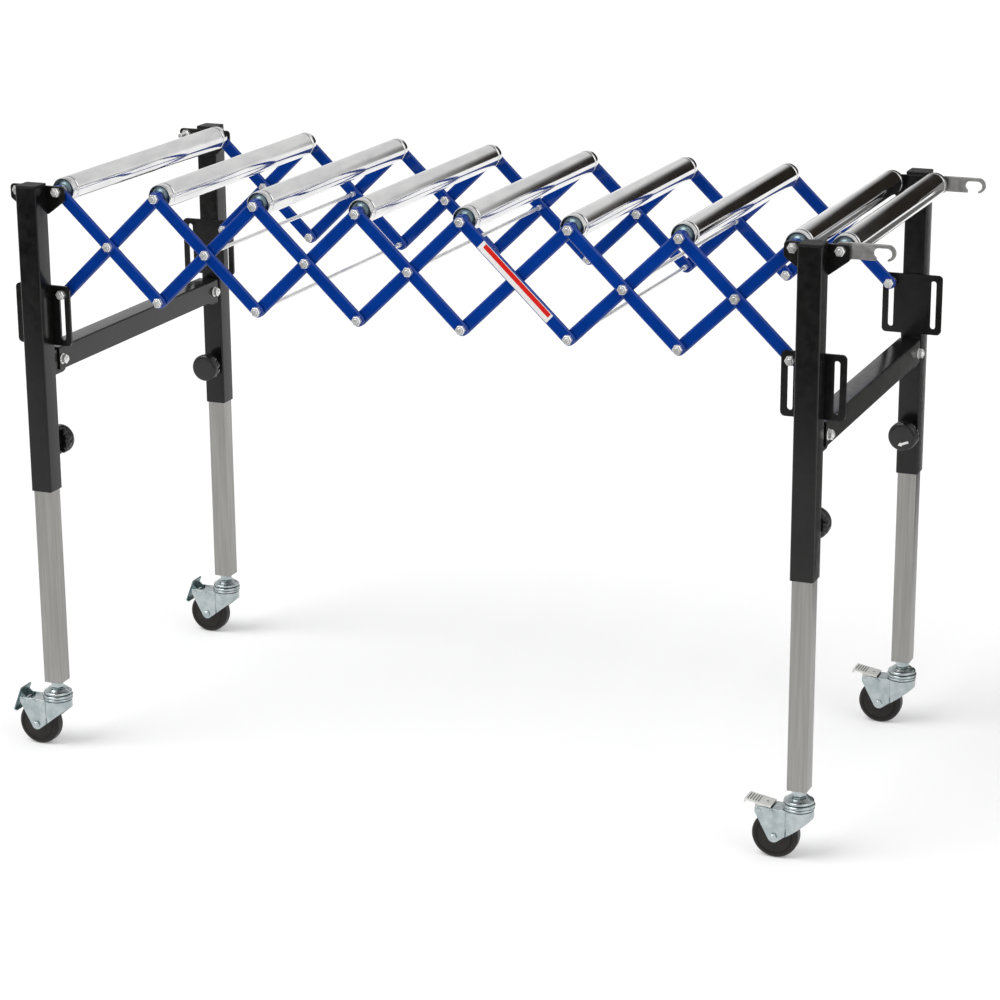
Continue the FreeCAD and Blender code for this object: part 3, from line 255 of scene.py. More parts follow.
def facing_in(stand, side):
    """The place of a post, turned so that +Y is its inner side."""
    turn = 0 if side == "front" else math.pi
    return at(post_x[stand], post_y[side], 0) @ Matrix.Rotation(turn, 4, "Z")


def moved(pieces, place):
    """Pieces drawn around the origin, all carried to one place."""
    return [(mesh, place @ own_place) for mesh, own_place in pieces]


def on_posts(stand, pieces):
    """Pieces drawn on a post that faces +Y, set on both posts of a stand."""
    return moved(pieces, facing_in(stand, "front")) + moved(pieces, facing_in(stand, "back"))


def joined(name, placed):
    """One mesh of several, each moved by its own matrix, with the shading of each kept."""
    whole = bmesh.new()
    normals = []
    for mesh, matrix in placed:
        copied = mesh.copy()
        copied.transform(matrix)
        whole.from_mesh(copied)
        turn = matrix.to_3x3()
        normals += [turn @ corner.vector for corner in mesh.corner_normals]
    mesh = bpy.data.meshes.new(name)
    whole.to_mesh(mesh)
    whole.free()
    mesh.normals_split_custom_set(normals)
    return mesh


def put(name, placed, finish, slot, body, *nodes):
    """A finished piece that moves with a body and stands for CAD nodes."""
    mesh = joined(name, placed)
    mesh.materials.clear()
    mesh.materials.append(finish)
    piece = bpy.data.objects.new(name, mesh)
    scene.collection.objects.link(piece)
    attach(piece, body)
    if nodes:
        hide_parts(*nodes)


cheek_outline = [
    (lug_start, lug_high),
    (lug_start, lug_low),
    *arc((lug_end - LUG_ROUND, lug_low + LUG_ROUND), LUG_ROUND, -90, 0),
    (lug_end, lug_high),
]
cheek = prism(cheek_outline, LUG_SHEET, CUT_EDGE)
web = prism(rectangle((-LUG_HALF, lug_low), (LUG_HALF, lug_high)), LUG_SHEET, CUT_EDGE)
post_pieces = [
    (tube, at(0, 0, POST_BOTTOM)),
    (cheek, at(-LUG_HALF, 0, 0) @ ALONG_Y),
    (cheek, at(LUG_HALF - LUG_SHEET, 0, 0) @ ALONG_Y),
    (web, at(0, lug_start + LUG_SHEET, 0) @ ALONG_X),
]
for stand in STANDS:
    placed = on_posts(stand, post_pieces)
    put(f"{stand}_post_tubes", placed, black_coat, "black_paint", f"{stand}_stand", f"{stand}_posts")

# Post caps: black plastic plugs pressed into the tops of the posts.
# Each shows a low square head as wide as the tube, with rounded upper edges.

cap_plastic = new_finish("cap_plastic", (0.008, 0.008, 0.008), 0, 0.5, 0.25)
uneven_gloss(cap_plastic, 0.006, 0.42, 0.58)
fine_dimples(cap_plastic, 0.0008, 0.00003)
CAP_EDGE = 0.0014
cap = prism(square(POST_WIDTH / 2, POST_CORNER), CAP_HEIGHT, CAP_EDGE)
for stand in STANDS:
    placed = on_posts(stand, [(cap, at(0, 0, POST_TOP))])
    put(f"{stand}_post_caps", placed, cap_plastic, "knob_plastic", f"{stand}_stand")

# Top brackets and slot plates: flat steel plates welded to the inner faces of the posts.
# The brackets hold the end axles and the slots guide the sliding bolts of the scissor frame.

PLATE_THICK = 0.004
PLATE_EDGE = 0.0007
BRACKET_SIDE = 0.022
BRACKET_HEIGHT = 0.044
BRACKET_CORNER = 0.006
SLOT_MARGIN = 0.009
SLOT_RADIUS = 0.0043
# Just under a half circle, so that the rounded corners of a slot never meet.
SLOT_ROUND = SLOT_RADIUS * 0.999
SLOT_CORNER = 0.007
plate_low, plate_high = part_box("left_plates")
plate_half = (plate_high.x - plate_low.x) / 2
bracket_side = plate_high.z - BRACKET_SIDE
bracket_low = plate_high.z - BRACKET_HEIGHT
bracket_corners = [
    (-plate_half, plate_high.z),
    (-plate_half, bracket_side),
    (-POST_WIDTH / 2, bracket_low),
    (POST_WIDTH / 2, bracket_low),
    (plate_half, bracket_side),
    (plate_half, plate_high.z),
]
bracket = prism(rounded(bracket_corners, BRACKET_CORNER), PLATE_THICK, PLATE_EDGE)
WING = places["fold"][0] - post_x["left"]
AXLE_HEIGHT = places["fold"][2]
BAR_DROP = 2 * (joint_at["fold"].z - joint_at["cross_pivot_1"].z)
slot_top = AXLE_HEIGHT - BAR_DROP + PLAY + SLOT_RADIUS
slot_corners = rectangle((-plate_half, plate_low.z), (plate_half, slot_top + SLOT_MARGIN))
slots = []
for wing in (-WING, WING):
    low = (wing - SLOT_RADIUS, plate_low.z + SLOT_MARGIN)
    high = (wing + SLOT_RADIUS, slot_top)
    slots.append(rounded(rectangle(low, high), SLOT_ROUND))
slot_plate = prism(rounded(slot_corners, SLOT_CORNER), PLATE_THICK, PLATE_EDGE, slots)
inner_face = at(0, POST_WIDTH / 2 + PLATE_THICK, 0) @ ALONG_X
for stand in STANDS:
    placed = on_posts(stand, [(bracket, inner_face), (slot_plate, inner_face)])
    put(f"{stand}_wing_plates", placed, black_coat, "black_paint", f"{stand}_stand", f"{stand}_plates")

# Cross rails: sheet steel bent to an upside-down channel, black like the posts.
# Each ties the two posts of a stand and is bolted between the cheeks of the lugs.

RAIL_BEND = 0.003
FINE_EDGE = 0.0003
rail_half = (rail_high.x - rail_low.x) / 2
rail_inner = rail_half - RAIL_WALL
rail_section = [
    (-rail_half, rail_low.z),
    (-rail_inner, rail_low.z),
    (-rail_inner, rail_high.z - RAIL_WALL),
    (rail_inner, rail_high.z - RAIL_WALL),
    (rail_inner, rail_low.z),
    (rail_half, rail_low.z),
    *arc((rail_half - RAIL_BEND, rail_high.z - RAIL_BEND), RAIL_BEND, 0, 90),
    *arc((RAIL_BEND - rail_half, rail_high.z - RAIL_BEND), RAIL_BEND, 90, 180),
]
rail = prism(rail_section, rail_high.y - rail_low.y, FINE_EDGE)
for stand in STANDS:
    placed = [(rail, at(post_x[stand], rail_high.y, 0) @ ALONG_X)]
    put(f"{stand}_cross_rail", placed, black_coat, "black_paint", f"{stand}_stand", f"{stand}_rail")

# Bolts and nuts: bright zinc-plated hexagons with a chamfered face and a stub of bolt end.
# The same tree sets every one of them, on a point with the way that it faces.

bright_zinc = new_finish("bright_zinc", (0.82, 0.82, 0.8), 0.6, 0.15)
uneven_colour(bright_zinc, 0.01, (0.75, 0.75, 0.74), (0.88, 0.875, 0.86), (1, 0.2, 1))
uneven_gloss(bright_zinc, 0.006, 0.1, 0.22, (1, 0.2, 1))
HEX_WIDTH = 0.013
HEX_HEIGHT = 0.0065
BOLT_RADIUS = 0.004
BOLT_END = 0.002
HEX_STRAIGHT = 0.84
HEX_FACE = 0.43
END_TAPER = 0.8


def hexagon_tree():
    """Points with a direction become chamfered hexagons with a bolt end on top."""
    tree = bpy.data.node_groups.new("hexagons", "GeometryNodeTree")
    sockets = {"Points": "Geometry", "Across Corners": "Float", "Height": "Float"}
    sockets |= {"Bolt Radius": "Float", "Bolt End": "Float", "Finish": "Material"}
    for label, kind in sockets.items():
        tree.interface.new_socket(label, in_out="INPUT", socket_type=f"NodeSocket{kind}")
    tree.interface.new_socket("Hexagons", in_out="OUTPUT", socket_type="NodeSocketGeometry")
    given = tree.nodes.new("NodeGroupInput").outputs

    def scaled(label, factor):
        step = add_node(tree, "ShaderNodeMath", {0: given[label], 1: factor})
        step.operation = "MULTIPLY"
        return step.outputs[0]

    def solid(sides, low, high, depth):
        sizes = {"Vertices": sides, "Radius Bottom": low, "Radius Top": high, "Depth": depth}
        return add_node(tree, "GeometryNodeMeshCone", sizes).outputs["Mesh"]

    def lifted(mesh, height):
        offset = add_node(tree, "ShaderNodeCombineXYZ", {"Z": height}).outputs["Vector"]
        move = {"Geometry": mesh, "Translation": offset}
        return add_node(tree, "GeometryNodeTransform", move).outputs["Geometry"]

    corner = scaled("Across Corners", 0.5)
    face = scaled("Across Corners", HEX_FACE)
    straight = scaled("Height", HEX_STRAIGHT)
    chamfer = solid(6, corner, face, scaled("Height", 1 - HEX_STRAIGHT))
    bolt_end = solid(16, given["Bolt Radius"], scaled("Bolt Radius", END_TAPER), given["Bolt End"])
    join = tree.nodes.new("GeometryNodeJoinGeometry")
    tree.links.new(solid(6, corner, corner, straight), join.inputs["Geometry"])
    tree.links.new(lifted(chamfer, straight), join.inputs["Geometry"])
    tree.links.new(lifted(bolt_end, given["Height"]), join.inputs["Geometry"])
    way = add_node(tree, "GeometryNodeInputNamedAttribute", {"Name": "way"})
    way.data_type = "FLOAT_VECTOR"
    facing = {"Vector": way.outputs["Attribute"]}
    turn = add_node(tree, "FunctionNodeAlignRotationToVector", facing)
    turn.axis = "Z"
    settings = {
        "Points": given["Points"],
        "Instance": join.outputs["Geometry"],
        "Rotation": turn.outputs["Rotation"],
    }
    scatter = add_node(tree, "GeometryNodeInstanceOnPoints", settings).outputs["Instances"]
    plain = add_node(tree, "GeometryNodeRealizeInstances", {"Geometry": scatter}).outputs["Geometry"]
    dress = {"Geometry": plain, "Material": given["Finish"]}
    dressed = add_node(tree, "GeometryNodeSetMaterial", dress).outputs["Geometry"]
    add_node(tree, "NodeGroupOutput", {"Hexagons": dressed})
    return tree


hexagons_tree = hexagon_tree()


def hexagons(spots, width=HEX_WIDTH, height=HEX_HEIGHT, end=BOLT_END, finish=bright_zinc):
    """Hexagons standing on spots, each spot a place and the way that it faces."""
    points = bpy.data.meshes.new("spots")
    points.from_pydata([place for place, way in spots], [], [])
    ways = points.attributes.new("way", "FLOAT_VECTOR", "POINT")
    for index, (place, way) in enumerate(spots):
        ways.data[index].vector = way
    values = {
        "Across Corners": width * 2 / math.sqrt(3),
        "Height": height,
        "Bolt Radius": BOLT_RADIUS,
        "Bolt End": end,
        "Finish": finish,
    }
    sockets = hexagons_tree.interface.items_tree
    inputs = [(item.identifier, values[item.name]) for item in sockets if item.name in values]
    return after_modifier(points, "NODES", {"node_group": hexagons_tree}, inputs)


def lathe(profile, steps=48, closed=True):
    """A profile of radius and height, turned once around the Z axis."""
    verts = []
    faces = []
    count = len(profile)
    for step in range(steps):
        angle = 2 * math.pi * step / steps
        for radius, height in profile:
            verts.append((radius * math.cos(angle), radius * math.sin(angle), height))
        here = step * count
        ahead = (step + 1) % steps * count
        for index in range(count if closed else count - 1):
            above = (index + 1) % count
            faces.append((here + index, ahead + index, ahead + above, here + above))
    mesh = bpy.data.meshes.new("lathe")
    mesh.from_pydata(verts, [], faces)
    shape = bmesh.new()
    shape.from_mesh(mesh)
    bmesh.ops.remove_doubles(shape, verts=shape.verts[:], dist=0.000001)
    bmesh.ops.dissolve_degenerate(shape, edges=shape.edges[:], dist=0.000001)
    bmesh.ops.recalc_face_normals(shape, faces=shape.faces[:])
    shape.to_mesh(mesh)
    shape.free()
    mesh.shade_smooth()
    mesh.set_sharp_from_angle(angle=math.radians(32))
    return mesh


def ring(radius, bore, length, edge=CUT_EDGE, steps=32):
    """A sleeve from the XY plane upwards, with its outer rims broken."""
    side = [(radius - edge, 0), (radius, edge), (radius, length - edge), (radius - edge, length)]
    return lathe([(bore, 0), *side, (bore, length)], steps)


def cylinder(radius, length, edge=CUT_EDGE):
    """A round bar from the XY plane upwards."""
    return ring(radius, 0, length, edge, 24)


# Local +Z laid towards the back, the front or the right.
TO_BACK = Matrix.Rotation(-math.pi / 2, 4, "X")
TO_FRONT = TO_BACK.inverted()
TO_RIGHT = Matrix.Rotation(math.pi / 2, 4, "Y")
RAIL_BOLT_DROP = 0.02
RAIL_BOLT_INSET = 0.009
WASHER_RADIUS = 0.0085
WASHER_THICK = 0.0012
washer = ring(WASHER_RADIUS, BOLT_RADIUS, WASHER_THICK)
stand_hexagons = {stand: [] for stand in STANDS}
stand_rods = {stand: [] for stand in STANDS}
bolt_height = rail_high.z - RAIL_BOLT_DROP
bolt_reach = rail_high.y - RAIL_BOLT_INSET
for stand in STANDS:
    right_face = post_x[stand] + rail_half
    left_face = post_x[stand] - rail_half
    for bolt_y in (-bolt_reach, bolt_reach):
        stand_rods[stand].append((washer, at(right_face, bolt_y, bolt_height) @ TO_RIGHT))
        stand_hexagons[stand].append(((right_face + WASHER_THICK, bolt_y, bolt_height), (1, 0, 0)))
        stand_hexagons[stand].append(((left_face, bolt_y, bolt_height), (-1, 0, 0)))

# Coupling studs: bolts through the outer wings of the left brackets, ready for another
# conveyor's hooks. Nuts lock them on the inner side, and their ends are turned smooth.

STUD_PIN = 0.0038
STUD_REACH = 0.025
stud = cylinder(STUD_PIN, STUD_REACH)
stud_x = post_x["left"] - WING
plate_outer = plate_high.y
plate_inner = plate_outer - PLATE_THICK
stud_faces = [(-plate_outer, -1), (-plate_inner, 1), (plate_outer, 1), (plate_inner, -1)]


def nut_spots(x, z, faces):
    """Spots for the nuts of one pin across the conveyor, each face a y and the way of its nut."""
    return [((x, y, z), (0, way, 0)) for y, way in faces]


stand_hexagons["left"] += nut_spots(stud_x, AXLE_HEIGHT, stud_faces)
stand_rods["left"] += [
    (stud, at(stud_x, -plate_inner, AXLE_HEIGHT) @ TO_BACK),
    (stud, at(stud_x, plate_inner, AXLE_HEIGHT) @ TO_FRONT),
]

# End axles of the right stand: long zinc-plated bolts through both brackets.
# Spacer sleeves slide over them, between the plates, the bars and the rollers.

SLEEVE_RADIUS = 0.0075
BAR_THICK = 0.006
ROLLER_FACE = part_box("roller_1")[1].y
IDENTITY = Matrix.Identity(4)
bar_low, bar_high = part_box("falling_bars_1")
outer_far = -bar_low.y
outer_near = outer_far - BAR_THICK
inner_far = bar_high.y
inner_near = inner_far - BAR_THICK
end_axle = cylinder(BOLT_RADIUS, 2 * plate_outer)
roller_spacer = ring(SLEEVE_RADIUS, BOLT_RADIUS, inner_near - ROLLER_FACE - 2 * PLAY)
inner_sleeve = ring(SLEEVE_RADIUS, BOLT_RADIUS, outer_near - ROLLER_FACE - 2 * PLAY)
outer_sleeve = ring(SLEEVE_RADIUS, BOLT_RADIUS, plate_inner - inner_far - PLAY)


def across(mesh, x, y, z=AXLE_HEIGHT):
    """A piece on an axle, from y towards the back."""
    return (mesh, at(x, y, z) @ TO_BACK)


last_x = post_x["right"] - WING
end_x = post_x["right"] + WING
axle_faces = [(-plate_outer, -1), (plate_outer, 1)]
for axle_x in (last_x, end_x):
    stand_hexagons["right"] += nut_spots(axle_x, AXLE_HEIGHT, axle_faces)
    stand_rods["right"].append(across(end_axle, axle_x, -plate_outer))
    stand_rods["right"].append(across(inner_sleeve, axle_x, ROLLER_FACE + PLAY))
stand_rods["right"] += [
    across(outer_sleeve, last_x, -plate_inner),
    across(roller_spacer, last_x, PLAY - inner_near),
    across(inner_sleeve, end_x, PLAY - outer_near),
]
for stand in STANDS:
    placed = [(hexagons(stand_hexagons[stand]), IDENTITY), *stand_rods[stand]]
    put(f"{stand}_bolts", placed, bright_zinc, "zinc", f"{stand}_stand", f"{stand}_fasteners")

# Clamp nuts: short hexagons welded to the inner faces of the posts and painted with them.
# The screws of the clamp knobs run in their threads.

CLAMP_NUT = 0.005
FLUSH_END = 0.0002
knob_z = places["knob_front_left_turn"][2]
clamp_faces = [(post_y["front"] + POST_WIDTH / 2, 1), (post_y["back"] - POST_WIDTH / 2, -1)]
for stand in STANDS:
    spots = nut_spots(post_x[stand], knob_z, clamp_faces)
    nuts = hexagons(spots, height=CLAMP_NUT, end=FLUSH_END, finish=black_coat)
    put(f"{stand}_clamp_nuts", [(nuts, IDENTITY)], black_coat, "black_paint", f"{stand}_stand")

# Legs: zinc-plated square tube that slides in the posts, with faint drawing lines along it.
# A plug closes the lower end and holds the stem of the caster.

leg_zinc = new_finish("leg_zinc", (0.33, 0.325, 0.31), 1, 0.36)
uneven_colour(leg_zinc, 0.03, (0.3, 0.295, 0.28), (0.36, 0.355, 0.34), (6, 6, 0.2))
uneven_gloss(leg_zinc, 0.01, 0.3, 0.42, (6, 6, 0.15))
LEG_HALF = 0.015
LEG_CORNER = 0.002
LEG_WALL = 0.0015
LEG_BOTTOM = 0.1095
PLUG_HEIGHT = 0.005
PLUG_EDGE = 0.0002
leg_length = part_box("leg_front_left")[1].z - LEG_BOTTOM
leg_bore = square(LEG_HALF - LEG_WALL, LEG_CORNER - LEG_WALL / 2)
leg_tube = prism(square(LEG_HALF, LEG_CORNER), leg_length, FINE_EDGE, [leg_bore])
foot_plug = prism(square(LEG_HALF - LEG_WALL, LEG_CORNER / 2), PLUG_HEIGHT, PLUG_EDGE)
CORNERS = [(side, stand, f"{side}_{stand}") for stand in STANDS for side in SIDES]
under_post = {corner: at(post_x[stand], post_y[side], 0) for side, stand, corner in CORNERS}
leg_pieces = [(mesh, at(0, 0, LEG_BOTTOM)) for mesh in (leg_tube, foot_plug)]
for corner, place in under_post.items():
    placed = moved(leg_pieces, place)
    put(f"leg_tube_{corner}", placed, leg_zinc, "leg_zinc", f"leg_{corner}", f"leg_{corner}")

# Caster heads: a nut and a stack of pressed and polished swivel rings below each leg.
# The upper rings stay with the leg, the lower ring turns with the fork.

caster_zinc = new_finish("caster_zinc", (0.44, 0.49, 0.5), 1, 0.2)
uneven_colour(caster_zinc, 0.014, (0.37, 0.425, 0.44), (0.51, 0.555, 0.56))
uneven_gloss(caster_zinc, 0.008, 0.14, 0.28)
STEM_NUT = 0.019
RACE_RADIUS = 0.024
RACE_HEIGHT = 0.01
KING_RADIUS = 0.005
KING_HEAD = 0.008
FORK_SHEET = 0.0025
ROLL_STEPS = 8
RACE_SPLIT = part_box("fork_front_left")[1].z
FORK_TOP = RACE_SPLIT - RACE_HEIGHT
RACE_TOP = RACE_SPLIT + RACE_HEIGHT + PLAY


def rolled_edge(radius, low, high, bulge):
    """The rolled edge of a ring, from its lower to its upper rim."""
    middle = (low + high) / 2
    points = []
    for step in range(ROLL_STEPS + 1):
        angle = math.pi * (step / ROLL_STEPS - 0.5)
        out = radius - bulge + bulge * math.cos(angle)
        points.append((out, middle + (high - low) / 2 * math.sin(angle)))
    return points


upper_rings = lathe(
    [
        (KING_RADIUS, RACE_SPLIT + PLAY),
        *rolled_edge(RACE_RADIUS - 0.0015, RACE_SPLIT + PLAY, RACE_SPLIT + 0.0058, 0.003),
        (RACE_RADIUS - 0.006, RACE_SPLIT + 0.0066),
        (RACE_RADIUS - 0.0085, RACE_TOP - 0.0012),
        (RACE_RADIUS - 0.0105, RACE_TOP),
        (KING_RADIUS, RACE_TOP),
    ]
)
king_pin = cylinder(KING_RADIUS, RACE_HEIGHT + 2 * FORK_SHEET)
king_head = cylinder(KING_HEAD, FORK_SHEET)
pin_low = FORK_TOP - FORK_SHEET - PLAY
stem = [((0, 0, LEG_BOTTOM), (0, 0, -1))]
stem_nut = hexagons(stem, STEM_NUT, LEG_BOTTOM - RACE_TOP, FLUSH_END, caster_zinc)
head_pieces = [
    (upper_rings, IDENTITY),
    (stem_nut, IDENTITY),
    (king_pin, at(0, 0, pin_low)),
    (king_head, at(0, 0, pin_low - FORK_SHEET)),
]
for corner, place in under_post.items():
    put(f"caster_head_{corner}", moved(head_pieces, place), caster_zinc, "caster_zinc", f"leg_{corner}")

# Caster forks: pressed zinc-plated sheet with flat cheeks beside the wheel and a round hood
# below the swivel ring. Rivets carry the pedal and a bolt carries the wheel.

FORK_BACK = 0.062
FORK_REAR = 0.008
FORK_FOOT = 0.009
FORK_HOOD = 0.012
FORK_OPENING = 0.04
FORK_HALF = 0.0157
FORK_EDGE = 0.0005
FORK_STEPS = 8
FORK_ROWS = 4
SHEET_EDGE = 0.0006
HOOD_INSET = 0.0015
HOOD_RADIUS = RACE_RADIUS - HOOD_INSET
BORE_PLAY = 0.0001
TRAIL = post_x["left"] - places["wheel_front_left_spin"][0]
WHEEL_RADIUS = places["wheel_front_left_spin"][2]
neck = -math.sqrt(HOOD_RADIUS**2 - FORK_HALF**2)
neck_angle = math.degrees(math.atan2(FORK_HALF, neck))
foot_middle = Vector((-TRAIL, WHEEL_RADIUS))
rear_corner = Vector((-FORK_BACK, FORK_TOP - FORK_REAR))
hood_corner = Vector((HOOD_RADIUS, FORK_TOP - FORK_HOOD))


def foot_touch(corner, way):
    """The angle at which a straight edge from a corner touches the round foot of the fork."""
    away = corner - foot_middle
    return math.degrees(math.atan2(away.y, away.x) + way * math.acos(FORK_FOOT / away.length))


foot_arc = arc(foot_middle, FORK_FOOT, foot_touch(rear_corner, 1), foot_touch(hood_corner, -1) + 360)
front_touch = foot_arc[-1]


def edge_height(x):
    """Height of the straight lower edge in front of the foot."""
    share = (x - front_touch.x) / (hood_corner.x - front_touch.x)
    return front_touch.y + (hood_corner.y - front_touch.y) * share


def fork_skin():
    """The cheeks and the hood as one bent sheet with its thickness inwards."""
    lower = [rear_corner.lerp(foot_arc[0], step / FORK_STEPS) for step in range(FORK_STEPS)]
    lower += foot_arc
    for step in range(1, FORK_STEPS):
        x = front_touch.x + (neck - front_touch.x) * step / FORK_STEPS
        lower.append(Vector((x, edge_height(x))))
    plan = [(point.x, -FORK_HALF, point.y) for point in lower]
    for point in arc((0, 0), HOOD_RADIUS, -neck_angle, neck_angle):
        plan.append((point.x, point.y, edge_height(point.x)))
    plan += [(point.x, FORK_HALF, point.y) for point in reversed(lower)]
    verts = []
    faces = []
    for x, y, low in plan:
        for row in range(FORK_ROWS):
            verts.append((x, y, low + (FORK_TOP - low) * row / (FORK_ROWS - 1)))
    for index in range(len(plan) - 1):
        for row in range(FORK_ROWS - 1):
            start = index * FORK_ROWS + row
            faces.append((start, start + FORK_ROWS, start + FORK_ROWS + 1, start + 1))
    mesh = bpy.data.meshes.new("skin")
    mesh.from_pydata(verts, [], faces)
    sheet = after_modifier(mesh, "SOLIDIFY", {"thickness": FORK_SHEET, "offset": -1})
    return softened(sheet, FORK_EDGE, 2)


fork_sheet = fork_skin()
roof_half = FORK_HALF - PLAY
roof_outline = [
    (-FORK_OPENING, -roof_half),
    *arc((0, 0), HOOD_RADIUS - PLAY, -neck_angle, neck_angle),
    (-FORK_OPENING, roof_half),
]
fork_roof = prism(roof_outline, FORK_SHEET, SHEET_EDGE)
lower_ring = lathe(
    [
        (KING_RADIUS + BORE_PLAY, FORK_TOP),
        (RACE_RADIUS - 0.004, FORK_TOP),
        *rolled_edge(RACE_RADIUS - 0.0006, FORK_TOP + 0.0008, FORK_TOP + 0.005, 0.0022),
        *rolled_edge(RACE_RADIUS, FORK_TOP + 0.0052, RACE_SPLIT, 0.0024),
        (KING_RADIUS + BORE_PLAY, RACE_SPLIT),
    ]
)
PEDAL_BACK = post_x["left"] - places["pedal_front_left_press"][0]
PEDAL_HEIGHT = places["pedal_front_left_press"][2]
STOP_GAP = 0.02
PIN_RADIUS = 0.0025
RIVET_HEAD = 0.0041
RIVET_HEIGHT = 0.0016
AXLE_HEX = 0.0105
AXLE_HEAD = 0.0028
AXLE_END = 0.0007
rivet_dome = [(0, 0)]
for angle in (0, 0.4, 0.8, 1.2, math.pi / 2):
    rivet_dome.append((RIVET_HEAD * math.cos(angle), RIVET_HEIGHT * math.sin(angle)))
rivet = lathe(rivet_dome, 20)
pin = cylinder(PIN_RADIUS, 2 * FORK_HALF)
wheel_bolt = cylinder(BOLT_RADIUS, 2 * FORK_HALF)
axle_heads = nut_spots(-TRAIL, WHEEL_RADIUS, [(-FORK_HALF, -1), (FORK_HALF, 1)])
fork_pieces = [
    (fork_sheet, IDENTITY),
    (lower_ring, IDENTITY),
    (fork_roof, at(0, 0, FORK_TOP - FORK_SHEET)),
    across(wheel_bolt, -TRAIL, -FORK_HALF, WHEEL_RADIUS),
    (hexagons(axle_heads, AXLE_HEX, AXLE_HEAD, AXLE_END, caster_zinc), IDENTITY),
]
for pin_x in (-PEDAL_BACK, STOP_GAP - PEDAL_BACK):
    fork_pieces.append(across(pin, pin_x, -FORK_HALF, PEDAL_HEIGHT))
    fork_pieces.append(across(rivet, pin_x, FORK_HALF, PEDAL_HEIGHT))
    fork_pieces.append((rivet, at(pin_x, -FORK_HALF, PEDAL_HEIGHT) @ TO_FRONT))
for corner, place in under_post.items():
    placed = moved(fork_pieces, place)
    put(f"fork_sheet_{corner}", placed, caster_zinc, "caster_zinc", f"fork_{corner}", f"fork_{corner}")

# Wheels: solid moulded rubber, nearly black, with a ring groove in each side and round shoulders.
# Each turns on the bolt through the feet of its fork.

wheel_rubber = new_finish("wheel_rubber", (0.009, 0.0075, 0.0068), 0, 0.36, 0.3)
uneven_colour(wheel_rubber, 0.015, (0.007, 0.0056, 0.005), (0.012, 0.01, 0.009))
uneven_gloss(wheel_rubber, 0.01, 0.28, 0.46)
WHEEL_HALF = 0.011
HUB_HALF = 0.0125
HUB_RADIUS = 0.012
HUB_EDGE = 0.0006
HUB_FLARE = 0.001
HUB_STEP = 0.0003
RIM_WIDTH = 0.012
SHOULDER = 0.006
RING_INSET = 0.0085
RING_MOUTH = 0.0011
RING_FLOOR = 0.0006
RING_DEPTH = 0.0008
ring_radius = WHEEL_RADIUS - RING_INSET
wheel_half = [
    (BOLT_RADIUS + BORE_PLAY, HUB_HALF),
    (HUB_RADIUS - HUB_EDGE, HUB_HALF),
    (HUB_RADIUS, HUB_HALF - HUB_EDGE),
    (HUB_RADIUS + HUB_FLARE, WHEEL_HALF + HUB_STEP),
    (WHEEL_RADIUS - RIM_WIDTH, WHEEL_HALF),
    (ring_radius - RING_MOUTH, WHEEL_HALF),
    (ring_radius - RING_FLOOR, WHEEL_HALF - RING_DEPTH),
    (ring_radius + RING_FLOOR, WHEEL_HALF - RING_DEPTH),
    (ring_radius + RING_MOUTH, WHEEL_HALF),
    *arc((WHEEL_RADIUS - SHOULDER, WHEEL_HALF - SHOULDER), SHOULDER, 90, 0),
]


def both_halves(half):
    """A profile followed by its mirror image below the middle plane."""
    return half + [(radius, -along) for radius, along in reversed(half)]


wheel = lathe(both_halves(wheel_half), 96)
for corner in under_post:
    placed = [across(wheel, *joint_at[f"wheel_{corner}_spin"])]
    put(f"tread_{corner}", placed, wheel_rubber, "wheel_rubber", f"wheel_{corner}", f"wheel_{corner}")

# Brake pedals: folded zinc-plated sheet on the fork's rear rivet, ribbed where the foot presses.
# They are pressed down on the left casters and stand up on the right ones.

pedal_zinc = new_finish("pedal_zinc", (0.7, 0.7, 0.67), 0.3, 0.4)
uneven_colour(pedal_zinc, 0.01, (0.66, 0.66, 0.63), (0.75, 0.75, 0.72))
uneven_gloss(pedal_zinc, 0.005, 0.36, 0.55)
# Painted shade and painted reflection: a darker, bluish copy of the pedal zinc for the pressed-down
# left pedals, standing for the shade on them and the blue bars they reflect.
blue_zinc = new_finish("blue_zinc", (0.17, 0.25, 0.26), 0.6, 0.3)
uneven_colour(blue_zinc, 0.01, (0.13, 0.2, 0.21), (0.22, 0.31, 0.32))
uneven_gloss(blue_zinc, 0.005, 0.24, 0.42)
# Painted shade: a dark finish for thin strips that stand for the shade in the grooves between the ribs,
# on the heel face and in the hole of the foot mark.
pressed_dark = new_finish("pressed_dark", (0.07, 0.068, 0.06), 0.3, 0.5)
uneven_colour(pressed_dark, 0.004, (0.05, 0.048, 0.043), (0.1, 0.095, 0.085))
# The left pedals take the copy with painted shade and painted reflection, the right ones the plain
# pedal zinc.
PEDAL_FINISH = {"left": blue_zinc, "right": pedal_zinc}
PEDAL_ANGLE = {"left": -69, "right": 10}
PEDAL_TIP = 0.024
PEDAL_HEEL = 0.017
PEDAL_LIFT = 0.0085
PEDAL_SHEET = 0.002
PEDAL_LIP = 0.004
PEDAL_EAR = 0.005
EAR_LAP = 0.0005
EAR_FAR = FORK_HALF - FORK_SHEET - PLAY
EAR_NEAR = EAR_FAR - PEDAL_SHEET
RIB_HEIGHT = 0.0008
RIB_WIDTH = 0.0016
RIB_STEP = 0.004
RIBS = 5
